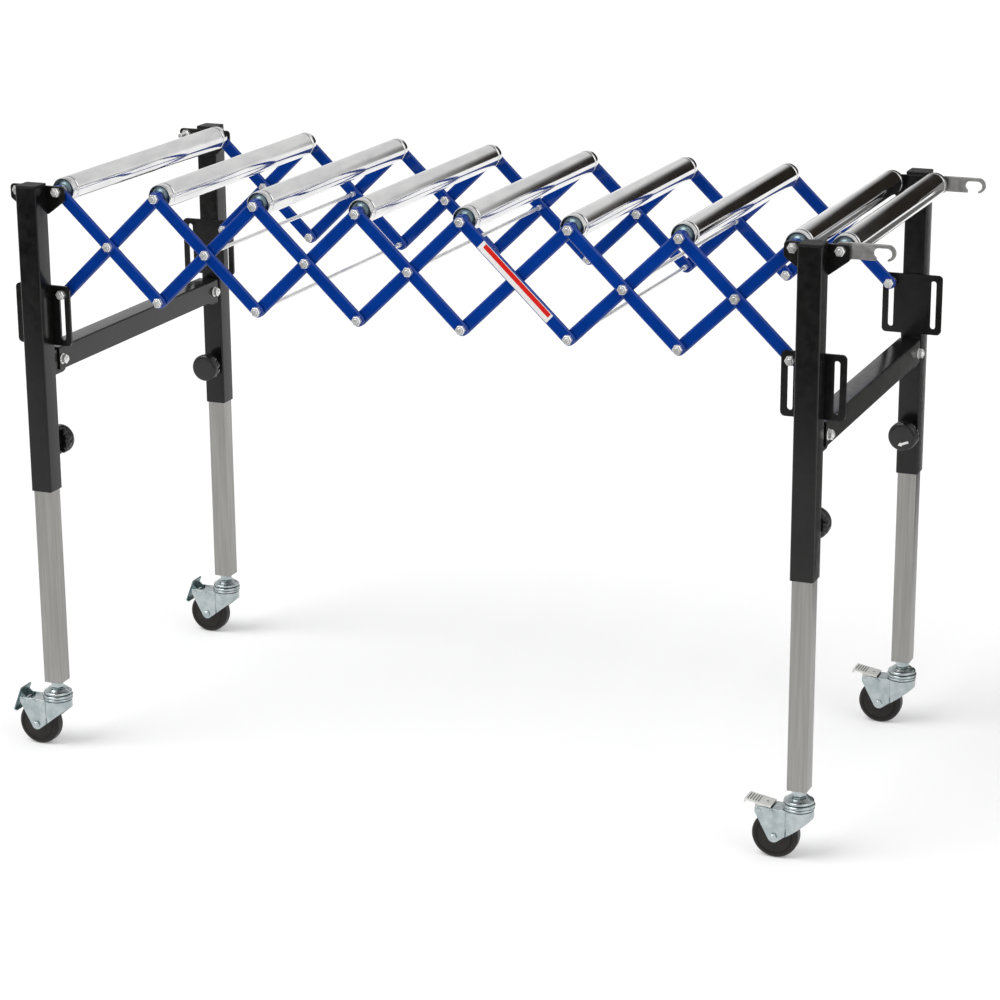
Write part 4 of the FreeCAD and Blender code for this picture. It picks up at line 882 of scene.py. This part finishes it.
# Width of each dark strip of painted shade between two ribs.
GROOVE_SHADE_WIDTH = 0.0011
SUNK = -0.0004
PROUD = 0.0001
DARK_EDGE = 0.00002
HEEL_INSET = 0.0002
MARK_PLACE = PEDAL_HEEL * 0.45
MARK_HEIGHT = 0.0003
tip_inside = PEDAL_SHEET - PEDAL_TIP
pedal_top = PEDAL_LIFT + PEDAL_SHEET
pedal_side = [
    (-PEDAL_TIP, PEDAL_LIFT - PEDAL_LIP),
    (tip_inside, PEDAL_LIFT - PEDAL_LIP),
    (tip_inside, PEDAL_LIFT),
    (PEDAL_HEEL, PEDAL_LIFT),
    (PEDAL_HEEL, pedal_top),
    (-PEDAL_TIP, pedal_top),
]
ear_outline = [
    (PEDAL_HEEL / 2, PEDAL_LIFT + EAR_LAP),
    (-PEDAL_HEEL / 2, PEDAL_LIFT + EAR_LAP),
    *arc((0, 0), PEDAL_EAR, 200, 340),
]
# Outline of the dark strip of painted shade on the heel face.
heel_shade_outline = rectangle((SUNK, HEEL_INSET), (PROUD, PEDAL_SHEET - HEEL_INSET))
tread_plate = prism(pedal_side, 2 * FORK_HALF, SHEET_EDGE)
ear = prism(ear_outline, PEDAL_SHEET, FINE_EDGE)
rib = prism(rectangle((0, SUNK), (RIB_WIDTH, RIB_HEIGHT)), 2 * EAR_NEAR, FINE_EDGE, segments=2)
# Dark strips and a dark disc laid on the pedal as painted shade: in each groove, on the heel face and
# in the foot mark's hole.
groove_shade_strip = prism(rectangle((0, SUNK), (GROOVE_SHADE_WIDTH, PROUD)), 2 * EAR_NEAR, DARK_EDGE)
heel_shade_strip = prism(heel_shade_outline, 2 * EAR_FAR, DARK_EDGE)
foot_mark = ring(radius=0.0028, bore=0.0017, length=2 * MARK_HEIGHT, edge=0.0002)
mark_hole_shade = cylinder(radius=0.0018, length=MARK_HEIGHT, edge=0.0001)
pedal_pieces = [
    (tread_plate, at(0, FORK_HALF, 0) @ ALONG_X),
    (ear, at(0, EAR_FAR, 0) @ ALONG_X),
    (ear, at(0, -EAR_NEAR, 0) @ ALONG_X),
    (foot_mark, at(MARK_PLACE, 0, pedal_top)),
]
# Pieces of painted shade: the dark disc in the foot mark's hole, the heel strip and the groove strips
# added below.
painted_shade_pieces = [
    (mark_hole_shade, at(MARK_PLACE, 0, pedal_top)),
    (heel_shade_strip, at(PEDAL_HEEL, EAR_FAR, PEDAL_LIFT) @ ALONG_X),
]
for index in range(RIBS):
    rib_x = tip_inside + RIB_STEP * index
    pedal_pieces.append((rib, at(rib_x, EAR_NEAR, pedal_top) @ ALONG_X))
    painted_shade_pieces.append((groove_shade_strip, at(rib_x + RIB_WIDTH, EAR_NEAR, pedal_top) @ ALONG_X))
for side, stand, corner in CORNERS:
    body = f"pedal_{corner}"
    tilt = Matrix.Rotation(math.radians(PEDAL_ANGLE[stand]), 4, "Y")
    pivot = Matrix.Translation(joint_at[f"{body}_press"]) @ tilt
    sheet = moved(pedal_pieces, pivot)
    put(f"pedal_sheet_{corner}", sheet, PEDAL_FINISH[stand], "pedal_zinc", body, body)
    # The painted shade of grooves, heel and hole moves with the pedal.
    put(f"pedal_groove_shade_{corner}", moved(painted_shade_pieces, pivot), pressed_dark, "pedal_zinc", body)

# Clamp knobs: black moulded plastic, a smooth round face in front of a scalloped skirt and a boss.
# A screw through the post wall presses on the leg.

knob_plastic = new_finish("knob_plastic", (0.005, 0.005, 0.005), 0, 0.14, 0.5)
uneven_gloss(knob_plastic, 0.008, 0.1, 0.2)
fine_dimples(knob_plastic, 0.0009, 0.00001)
KNOB_GAP = 0.004
KNOB_START = POST_WIDTH / 2 + CLAMP_NUT + KNOB_GAP
KNOB_DEPTH = 0.028
SCREW_GAP = 0.0004
KNOB_HUB = 0.014
KNOB_STEPS = 160
FLUTES = 10
FLUTE_DEPTH = 0.0021
MILLIMETRE = 0.001
# Radius and height in millimetres, from the back of the boss to the face, and the share of fluting.
KNOB_ROWS = [
    (0, 0, 0),
    (8.4, 0, 0),
    (9, 0.6, 0),
    (9, 8, 0),
    (14, 8.1, 0),
    (20, 9.6, 0.4),
    (22.4, 11.2, 1),
    (23, 12.4, 1),
    (23, 17.2, 1),
    (22.4, 18.4, 0.9),
    (21.4, 19, 0.4),
    (21.2, 19.4, 0),
    (22.2, 19.9, 0),
    (23, 20.6, 0),
    (23, 24, 0),
    (22.5, 25.8, 0),
    (21.2, 27.2, 0),
    (19.2, 27.9, 0),
    (17, 28, 0),
    (0, 28.1, 0),
]


def knob_mesh():
    """The knob turned around Z, its skirt drawn in between the lobes."""
    profile = [(radius * MILLIMETRE, height * MILLIMETRE) for radius, height, flute in KNOB_ROWS]
    mesh = lathe(profile, KNOB_STEPS, closed=False)
    flutes = {round(height * MILLIMETRE, 6): flute for radius, height, flute in KNOB_ROWS}
    for vertex in mesh.vertices:
        flute = flutes.get(round(vertex.co.z, 6), 0)
        angle = math.atan2(vertex.co.y, vertex.co.x)
        dip = max(0, math.cos(FLUTES * angle)) ** 2 * flute * FLUTE_DEPTH
        flat = vertex.co.to_2d()
        if flat.length > KNOB_HUB:
            vertex.co.xy = flat * ((flat.length - dip) / flat.length)
    mesh.shade_smooth()
    mesh.set_sharp_from_angle(angle=math.radians(40))
    return mesh


knob = knob_mesh()
screw_start = LEG_HALF + SCREW_GAP
screw = cylinder(BOLT_RADIUS, KNOB_START - screw_start)
knob_pieces = [(knob, at(0, 0, KNOB_START)), (screw, at(0, 0, screw_start))]
for side, stand, corner in CORNERS:
    placed = moved(knob_pieces, facing_in(stand, side) @ at(0, 0, knob_z) @ TO_BACK)
    put(f"knob_grip_{corner}", placed, knob_plastic, "knob_plastic", f"knob_{corner}", f"knob_{corner}")

# Knob mark: a plain white arrow printed on the face of the right back knob, for the loosening way.
# The other knobs are bare.

mark_white = new_finish("mark_white", (0.8, 0.8, 0.78), 0, 0.5)
uneven_colour(mark_white, 0.002, (0.72, 0.72, 0.7), (0.86, 0.86, 0.84))
MARK_LENGTH = 0.018
MARK_HALF = 0.0018
MARK_HEAD = 0.0036
MARK_DROP = 0.0105
MARK_ASIDE = 0.002
MARK_TILT = math.radians(22)
PRINT_THICK = 0.0002
arrow_end = MARK_LENGTH / 2
head_start = MARK_LENGTH / 6
arrow = [
    (arrow_end, 0),
    (head_start, MARK_HEAD),
    (head_start, MARK_HALF),
    (-arrow_end, MARK_HALF),
    (-arrow_end, -MARK_HALF),
    (head_start, -MARK_HALF),
    (head_start, -MARK_HEAD),
]
arrow_mark = prism(arrow, PRINT_THICK, 0)
knob_face = facing_in("right", "back") @ at(0, 0, knob_z) @ TO_BACK @ at(0, 0, KNOB_START + KNOB_DEPTH)
mark_spot = knob_face @ at(-MARK_ASIDE, MARK_DROP, 0) @ Matrix.Rotation(MARK_TILT, 4, "Z")
put("knob_mark", [(arrow_mark, mark_spot)], mark_white, "knob_plastic", "knob_back_right")

# Scissor bars: flat steel bars with round ends and rounded edges, royal blue gloss paint.
# Falling bars lie outside on the front and inside on the back, rising bars the other way.

royal_blue = new_finish("royal_blue", (0, 0.033, 0.245), 0, 0.08)
uneven_colour(royal_blue, 0.03, (0, 0.03, 0.225), (0, 0.036, 0.265))
uneven_gloss(royal_blue, 0.01, 0.05, 0.12)
fine_dimples(royal_blue, 0.003, 0.00001)
CELLS = 7
BAR_HALF = 0.01
BAR_EDGE = 0.0028
tops = [joint_at["fold"], *(joint_at[f"top_pivot_{cell}"] for cell in range(2, CELLS + 1))]
crossings = [joint_at[f"cross_pivot_{cell}"] for cell in range(1, CELLS + 1)]
bottoms = [2 * crossing - top for top, crossing in zip(tops, crossings)]
BAR_REACH = 2 * (crossings[0] - tops[0]).length
bar_outline = arc((0, 0), BAR_HALF, 90, 270) + arc((BAR_REACH, 0), BAR_HALF, -90, 90)
bar = prism(bar_outline, BAR_THICK, BAR_EDGE, segments=4)


def leaning(start, end, far):
    """The place of a bar drawn along X, from one pivot to another, its back face at a given y."""
    way = end - start
    lean = Matrix.Rotation(-math.atan2(way.z, way.x), 4, "Y")
    return at(start.x, far, start.z) @ lean @ ALONG_X


for cell, (top, bottom) in enumerate(zip(tops, bottoms), 1):
    low = Vector((top.x, 0, bottom.z))
    high = Vector((bottom.x, 0, top.z))
    falling = [(bar, leaning(top, bottom, far)) for far in (-outer_near, inner_far)]
    rising = [(bar, leaning(low, high, far)) for far in (-inner_near, outer_far)]
    for kind, pair in (("falling", falling), ("rising", rising)):
        body = f"{kind}_{cell}"
        put(f"{kind}_pair_{cell}", pair, royal_blue, "blue_paint", body, f"{kind}_bars_{cell}")

# Label: a bare white strip of plastic film with a red band printed along it.
# It is stuck on one front bar, over the flush middle pivot.

label_white = new_finish("label_white", (0.78, 0.77, 0.75), 0, 0.45, 0.2)
uneven_colour(label_white, 0.004, (0.72, 0.71, 0.69), (0.8, 0.79, 0.78))
label_red = new_finish("label_red", (0.62, 0.012, 0.008), 0, 0.45, 0.1)
uneven_colour(label_red, 0.004, (0.58, 0.01, 0.007), (0.66, 0.015, 0.01))
LABEL_CELL = 5
LABEL_START = 0.19 * BAR_REACH
LABEL_LENGTH = 0.64 * BAR_REACH
LABEL_WIDTH = 0.0155
LABEL_LIFT = 0.00015
strip = prism(rectangle((0, -LABEL_WIDTH / 2), (LABEL_LENGTH, LABEL_WIDTH / 2)), LABEL_LIFT, 0)
band_low = (LABEL_LENGTH * 0.04, LABEL_WIDTH * -0.03)
band_high = (LABEL_LENGTH * 0.975, LABEL_WIDTH * 0.44)
band = prism(rectangle(band_low, band_high), LABEL_LIFT / 2, 0)
label_bar = leaning(tops[LABEL_CELL - 1], bottoms[LABEL_CELL - 1], -outer_far)
strip_spot = label_bar @ at(LABEL_START, 0, 0)
band_spot = label_bar @ at(LABEL_START, 0, LABEL_LIFT)
put("label_strip", [(strip, strip_spot)], label_white, "blue_paint", f"falling_{LABEL_CELL}")
put("label_band", [(band, band_spot)], label_red, "blue_paint", f"falling_{LABEL_CELL}")

# Pivots: the roller axles, short bolts and a few long cross rods that join the bars,
# with nuts on the outside and sleeves where a layer is empty.

TIE_RADIUS = 0.003
TIE_SHOULDER = 0.008
TIED_CROSSINGS = (2, 4, 6)
TIED_BOTTOMS = (2, 5)
bar_axle = cylinder(BOLT_RADIUS, 2 * outer_far)
tie_rod = cylinder(TIE_RADIUS, 2 * inner_near)
tie_shoulder = cylinder(BOLT_RADIUS, TIE_SHOULDER + outer_far - inner_near)
short_bolt = cylinder(BOLT_RADIUS, outer_far - inner_near)
slot_bolt_long = cylinder(BOLT_RADIUS, plate_outer - inner_near)
slot_bolt_short = cylinder(BOLT_RADIUS, plate_outer - outer_near)


def cross_pair(spot, tied, flush=False):
    """The pivot of two crossing bars: one rod across the conveyor, or a short bolt on each side."""
    faces = [(outer_far, 1)]
    if not flush:
        faces.append((-outer_far, -1))
    if tied:
        rods = [
            across(tie_rod, spot.x, -inner_near, spot.z),
            across(tie_shoulder, spot.x, -outer_far, spot.z),
            across(tie_shoulder, spot.x, inner_near - TIE_SHOULDER, spot.z),
        ]
    else:
        rods = [across(short_bolt, spot.x, y, spot.z) for y in (-outer_far, inner_near)]
        faces += [(-inner_near, 1), (inner_near, -1)]
    return rods, nut_spots(spot.x, spot.z, faces)


def slot_pair(spot, front_bolt, front_near, back_bolt, back_near):
    """The two bolts that slide in the slots of a stand."""
    rods = [
        across(front_bolt, spot.x, -plate_outer, spot.z),
        across(back_bolt, spot.x, back_near, spot.z),
    ]
    faces = [(-plate_outer, -1), (plate_outer, 1), (-front_near, 1), (back_near, -1)]
    return rods, nut_spots(spot.x, spot.z, faces)


for cell, (top, crossing, bottom) in enumerate(zip(tops, crossings, bottoms), 1):
    rods, spots = cross_pair(crossing, cell in TIED_CROSSINGS, cell == LABEL_CELL)
    rods.append(across(roller_spacer, top.x, ROLLER_FACE + 2 * PLAY))
    face = outer_far
    if cell == 1:
        face = plate_outer
        rods.append(across(end_axle, top.x, -plate_outer))
        rods.append(across(inner_sleeve, top.x, 2 * PLAY - outer_near))
        rods.append(across(outer_sleeve, top.x, inner_far))
    else:
        rods.append(across(bar_axle, top.x, -outer_far))
        rods.append(across(roller_spacer, top.x, PLAY - inner_near))
    spots += nut_spots(top.x, top.z, [(-face, -1), (face, 1)])
    if cell == CELLS:
        bolts = (slot_bolt_short, outer_near, slot_bolt_long, inner_near)
        more_rods, more_spots = slot_pair(bottom, *bolts)
        more_rods.append(across(outer_sleeve, bottom.x, inner_far, bottom.z))
    else:
        more_rods, more_spots = cross_pair(bottom, cell in TIED_BOTTOMS)
    placed = [(hexagons(spots + more_spots), IDENTITY), *rods, *more_rods]
    put(f"pivot_bolts_{cell}", placed, bright_zinc, "zinc", f"falling_{cell}", f"pivots_{cell}")

first_bottom = Vector((tops[0].x, 0, bottoms[0].z))
rods, spots = slot_pair(first_bottom, slot_bolt_long, inner_near, slot_bolt_short, outer_near)
rods.append(across(outer_sleeve, first_bottom.x, PLAY - plate_inner, first_bottom.z))
put("slot_bolts_left", [(hexagons(spots), IDENTITY), *rods], bright_zinc, "zinc", "rising_1")

# Rollers: thin steel tube, bright zinc plate, drawn in a little at both ends.
# A crimp near each end holds the pressed cup in which the axle runs.

roller_zinc = new_finish("roller_zinc", (0.78, 0.78, 0.78), 1, 0.08)
uneven_colour(roller_zinc, 0.02, (0.71, 0.71, 0.715), (0.84, 0.835, 0.83), (1, 0.3, 1))
uneven_gloss(roller_zinc, 0.02, 0.03, 0.11, (1, 0.08, 1))
fine_dimples(roller_zinc, 0.03, 0.00006, (1, 0.15, 1))
ROLLERS = CELLS + 2
ROLLER_WALL = 0.0015
CRIMP_INSET = 0.014
CRIMP_WIDTH = 0.0036
CRIMP_DEPTH = 0.0011
CRIMP_STEPS = 8
LIP = 0.0007
END_DRAW = 0.0006
roller_low, roller_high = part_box("roller_1")
roller_radius = (roller_high.z - roller_low.z) / 2
bore = roller_radius - ROLLER_WALL
crimp_at = ROLLER_FACE - CRIMP_INSET
roller_half = [
    (bore, ROLLER_FACE),
    (roller_radius - END_DRAW - LIP, ROLLER_FACE),
    (roller_radius - END_DRAW - LIP * 0.3, ROLLER_FACE - LIP * 0.3),
    (roller_radius - END_DRAW, ROLLER_FACE - LIP),
    (roller_radius - END_DRAW * 0.4, ROLLER_FACE - CRIMP_INSET * 0.35),
    (roller_radius - END_DRAW * 0.1, ROLLER_FACE - CRIMP_INSET * 0.65),
]
for step in range(CRIMP_STEPS + 1):
    share = step / CRIMP_STEPS
    dip = CRIMP_DEPTH * math.sin(math.pi * share) ** 2
    roller_half.append((roller_radius - dip, crimp_at + CRIMP_WIDTH * (0.5 - share)))
roller_half.append((roller_radius, crimp_at - CRIMP_WIDTH))
roller_tube = lathe(both_halves(roller_half), 96)
roller_spots = {index: joint_at[f"roller_{index}_spin"] for index in range(1, ROLLERS + 1)}
for index, spot in roller_spots.items():
    body = f"roller_{index}"
    placed = [across(roller_tube, spot.x, 0, spot.z)]
    put(f"roller_tube_{index}", placed, roller_zinc, "roller_steel", body, body)

# Roller end cups: pressed steel discs with a bluish zinc plate, dished around a raised hub.
# They sit just inside the ends of the tubes and turn with them on the axles.

cup_zinc = new_finish("cup_zinc", (0.17, 0.23, 0.26), 1, 0.36)
uneven_colour(cup_zinc, 0.008, (0.13, 0.185, 0.215), (0.21, 0.275, 0.305))
uneven_gloss(cup_zinc, 0.004, 0.28, 0.44)
CUP_INSET = 0.001
CUP_DISH = 0.003
CUP_HUB = 0.009
CUP_DEPTH = 0.01
cup_face = ROLLER_FACE - CUP_INSET
dish_floor = cup_face - CUP_DISH
cup = lathe(
    [
        (BOLT_RADIUS + BORE_PLAY, cup_face),
        (CUP_HUB - 0.0008, cup_face),
        (CUP_HUB + 0.0004, cup_face - 0.0006),
        (CUP_HUB + CUP_DISH - 0.0006, dish_floor + 0.0004),
        (CUP_HUB + CUP_DISH + 0.0008, dish_floor),
        (bore - 0.0028, dish_floor),
        (bore - 0.0016, dish_floor + 0.0008),
        (bore - 0.0012, cup_face - 0.0005),
        (bore - 0.0006, cup_face),
        (bore - BORE_PLAY, cup_face - 0.0004),
        (bore - BORE_PLAY, cup_face - CUP_DEPTH),
        (BOLT_RADIUS + BORE_PLAY, cup_face - CUP_DEPTH),
    ],
    64,
)
for index, spot in roller_spots.items():
    placed = [(cup, at(spot.x, 0, spot.z) @ turn) for turn in (TO_BACK, TO_FRONT)]
    put(f"roller_cups_{index}", placed, cup_zinc, "roller_steel", f"roller_{index}")

# Coupling hooks: flat nickel-grey steel, cut with a mouth that drops over another conveyor's stud.
# They swing on the end axle, just inside the right brackets.

hook_steel = new_finish("hook_steel", (0.36, 0.355, 0.34), 1, 0.36)
uneven_colour(hook_steel, 0.02, (0.31, 0.305, 0.29), (0.42, 0.415, 0.4), (0.3, 1, 2))
uneven_gloss(hook_steel, 0.006, 0.28, 0.44)
HOOK_HALF = 0.0115
HOOK_THICK = 0.005
HOOK_REACH = 0.0641
HOOK_CLAW = 0.0051
HOOK_SAG = 0.00105
HOOK_TIP = 0.011
MOUTH_RADIUS = 0.0074
MOUTH_LENGTH = 0.026
MOUTH_OPENING = 0.0163
mouth_end = HOOK_REACH + HOOK_HALF - HOOK_CLAW - MOUTH_RADIUS
mouth_start = mouth_end - MOUTH_LENGTH + 2 * MOUTH_RADIUS
claw_tip = HOOK_REACH + HOOK_HALF - HOOK_TIP
way_in = claw_tip - MOUTH_OPENING
lip_angle = math.degrees(math.acos((way_in - mouth_start) / MOUTH_RADIUS))
tip_angle = math.degrees(math.acos((claw_tip - mouth_end) / MOUTH_RADIUS))
end_angle = math.degrees(math.acos((claw_tip - HOOK_REACH) / HOOK_HALF))
hook_outline = [
    *arc((0, 0), HOOK_HALF, 90, 270),
    (way_in, -HOOK_HALF),
    *arc((mouth_start, -HOOK_SAG), MOUTH_RADIUS, 360 - lip_angle, 90),
    *arc((mouth_end, -HOOK_SAG), MOUTH_RADIUS, 90, -tip_angle),
    *arc((HOOK_REACH, 0), HOOK_HALF, -end_angle, 90),
]
hook = prism(hook_outline, HOOK_THICK, SHEET_EDGE)
for side, far in (("front", -outer_near), ("back", outer_near + HOOK_THICK)):
    spot = joint_at[f"hook_{side}_swing"]
    placed = [(hook, at(spot.x, far, spot.z) @ ALONG_X)]
    put(f"hook_plate_{side}", placed, hook_steel, "hook_steel", f"hook_{side}", f"hook_{side}")

# Studio: a white floor that keeps the shadows, with soft lamps and a pale surround.
# Dark cards far behind, on the floor in front and beside the right stand show in gloss only.


def flat_sheet(name, corners, finish):
    mesh = bpy.data.meshes.new(name)
    mesh.from_pydata(corners, [], [range(len(corners))])
    mesh.materials.append(finish)
    sheet = bpy.data.objects.new(name, mesh)
    scene.collection.objects.link(sheet)
    return sheet


def background_rays(tree):
    """One for rays from the camera or from a mirror-like or clear surface, otherwise zero."""
    path = tree.nodes.new("ShaderNodeLightPath").outputs
    total = path["Is Camera Ray"]
    for kind in ("Is Glossy Ray", "Is Transmission Ray"):
        sum_node = add_node(tree, "ShaderNodeMath", {0: total, 1: path[kind]})
        sum_node.use_clamp = True
        total = sum_node.outputs["Value"]
    return total


FLOOR_REACH = 300
FLOOR_LIFT = 0.16
floor_white = new_finish("floor_white", (0.9, 0.9, 0.9), 0, 0.9, 0)
floor_tree = floor_white.node_tree
glow = add_node(floor_tree, "ShaderNodeMath", {0: background_rays(floor_tree), 1: FLOOR_LIFT})
glow.operation = "MULTIPLY"
floor_tree.nodes["Principled BSDF"].inputs["Emission Color"].default_value = (1, 1, 1, 1)
shade(floor_white, "Emission Strength", glow.outputs["Value"])
floor_plan = rectangle((-FLOOR_REACH, -FLOOR_REACH), (FLOOR_REACH, FLOOR_REACH))
flat_sheet("floor", [(x, y, 0) for x, y in floor_plan], floor_white)


def card(name, corners, finish):
    """A sheet that is seen in reflections only."""
    sheet = flat_sheet(name, corners, finish)
    sheet.visible_camera = False
    sheet.visible_diffuse = False
    sheet.visible_shadow = False


CARD_FAR = 14
CARD_X = 1.62
CARD_FOOT = 0.01
CARD_RISE = 0.24
CARD_MIDDLE = AXLE_HEIGHT + CARD_RISE
CARD_HALF = 5.6
CARD_FULL = 4.7
card_dark = new_finish("card_dark", (0.02, 0.017, 0.014), 0, 0.9, 0)
card_tree = card_dark.node_tree
card_place = {
    "Vector": card_tree.nodes.new("ShaderNodeTexCoord").outputs["Object"],
    "Location": (-CARD_X, -CARD_FAR, -CARD_MIDDLE),
}
card_centred = add_node(card_tree, "ShaderNodeMapping", card_place).outputs["Vector"]
card_reach = add_node(card_tree, "ShaderNodeVectorMath", {0: card_centred})
card_reach.operation = "LENGTH"
card_fade = {
    "Value": card_reach.outputs["Value"],
    "From Min": CARD_FULL,
    "From Max": CARD_HALF,
    "To Min": 1,
    "To Max": 0,
}
shade(card_dark, "Alpha", add_node(card_tree, "ShaderNodeMapRange", card_fade).outputs["Result"])
card_front = rectangle((CARD_X - CARD_HALF, CARD_FOOT), (CARD_X + CARD_HALF, CARD_MIDDLE + CARD_HALF))
card("back_card", [(x, CARD_FAR, z) for x, z in card_front], card_dark)
MAT_NEAR = -2.6
MAT_FAR = -9
MAT_HALF = 5
MAT_HEIGHT = 0.002
mat_dark = new_finish("mat_dark", (0.03, 0.03, 0.032), 0, 0.9, 0)
mat_plan = rectangle((-MAT_HALF, MAT_FAR), (MAT_HALF, MAT_NEAR))
card("front_mat", [(x, y, MAT_HEIGHT) for x, y in mat_plan], mat_dark)
SIDE_CARD_Y = 0.75
SIDE_CARD_FRONT = [(0.7, 0.28), (0.86, 0.01), (1.25, 0.01), (1.25, 0.72), (0.7, 0.82)]
side_grey = new_finish("side_grey", (0.14, 0.138, 0.135), 0, 0.9, 0)
card("side_card", [(x, SIDE_CARD_Y, z) for x, z in SIDE_CARD_FRONT], side_grey)


def soft_sun(name, way, spread, strength):
    """An even, soft light from far away, shining along a direction."""
    light = bpy.data.lights.new(name, "SUN")
    light.angle = math.radians(spread)
    light.energy = strength
    holder = bpy.data.objects.new(name, light)
    scene.collection.objects.link(holder)
    holder.rotation_euler = Vector(way).to_track_quat("-Z", "Y").to_euler()


soft_sun("key_light", way=(0.5, 0.55, -1), spread=40, strength=1.5)
soft_sun("fill_light", way=(-0.9, 0.35, -0.7), spread=50, strength=0.5)
HORIZON = (1, 1, 1, 1)
WALLS = (0.75, 0.75, 0.75, 1)
OVERHEAD = (0.3, 0.3, 0.3, 1)
world = bpy.data.worlds.new("studio")
scene.world = world
world.use_nodes = True
world_tree = world.node_tree
direction = world_tree.nodes.new("ShaderNodeTexCoord").outputs["Generated"]
height = add_node(world_tree, "ShaderNodeSeparateXYZ", {"Vector": direction}).outputs["Z"]
dome = add_node(world_tree, "ShaderNodeValToRGB", {"Fac": height})
ramp = dome.color_ramp.elements
ramp[0].color = HORIZON
ramp.new(0.2).color = WALLS
ramp.new(0.55).color = WALLS
ramp.new(0.85).color = OVERHEAD
ramp[-1].color = OVERHEAD
surround = world_tree.nodes["Background"].inputs
world_tree.links.new(dome.outputs["Color"], surround["Color"])
surround["Strength"].default_value = 1

# Camera: the photograph's place, far off to the right with a long lens.
# Its slight roll stands in for the photograph's shifted picture centre.

CAMERA_SPOT = (1.6643, -4.006, 1.7071)
CAMERA_TURN = 22.38
CAMERA_TILT = 16.816
CAMERA_ROLL = -0.372
CAMERA_LENS = 103.5
camera_data = bpy.data.cameras.new("camera")
camera = bpy.data.objects.new("camera", camera_data)
scene.collection.objects.link(camera)
camera.location = CAMERA_SPOT
camera.rotation_euler = (math.radians(90 - CAMERA_TILT), 0, math.radians(CAMERA_TURN))
camera.rotation_euler.rotate_axis("Z", math.radians(CAMERA_ROLL))
camera_data.sensor_width = 36
camera_data.lens = CAMERA_LENS
scene.camera = camera
scene.view_settings.view_transform = "Standard"
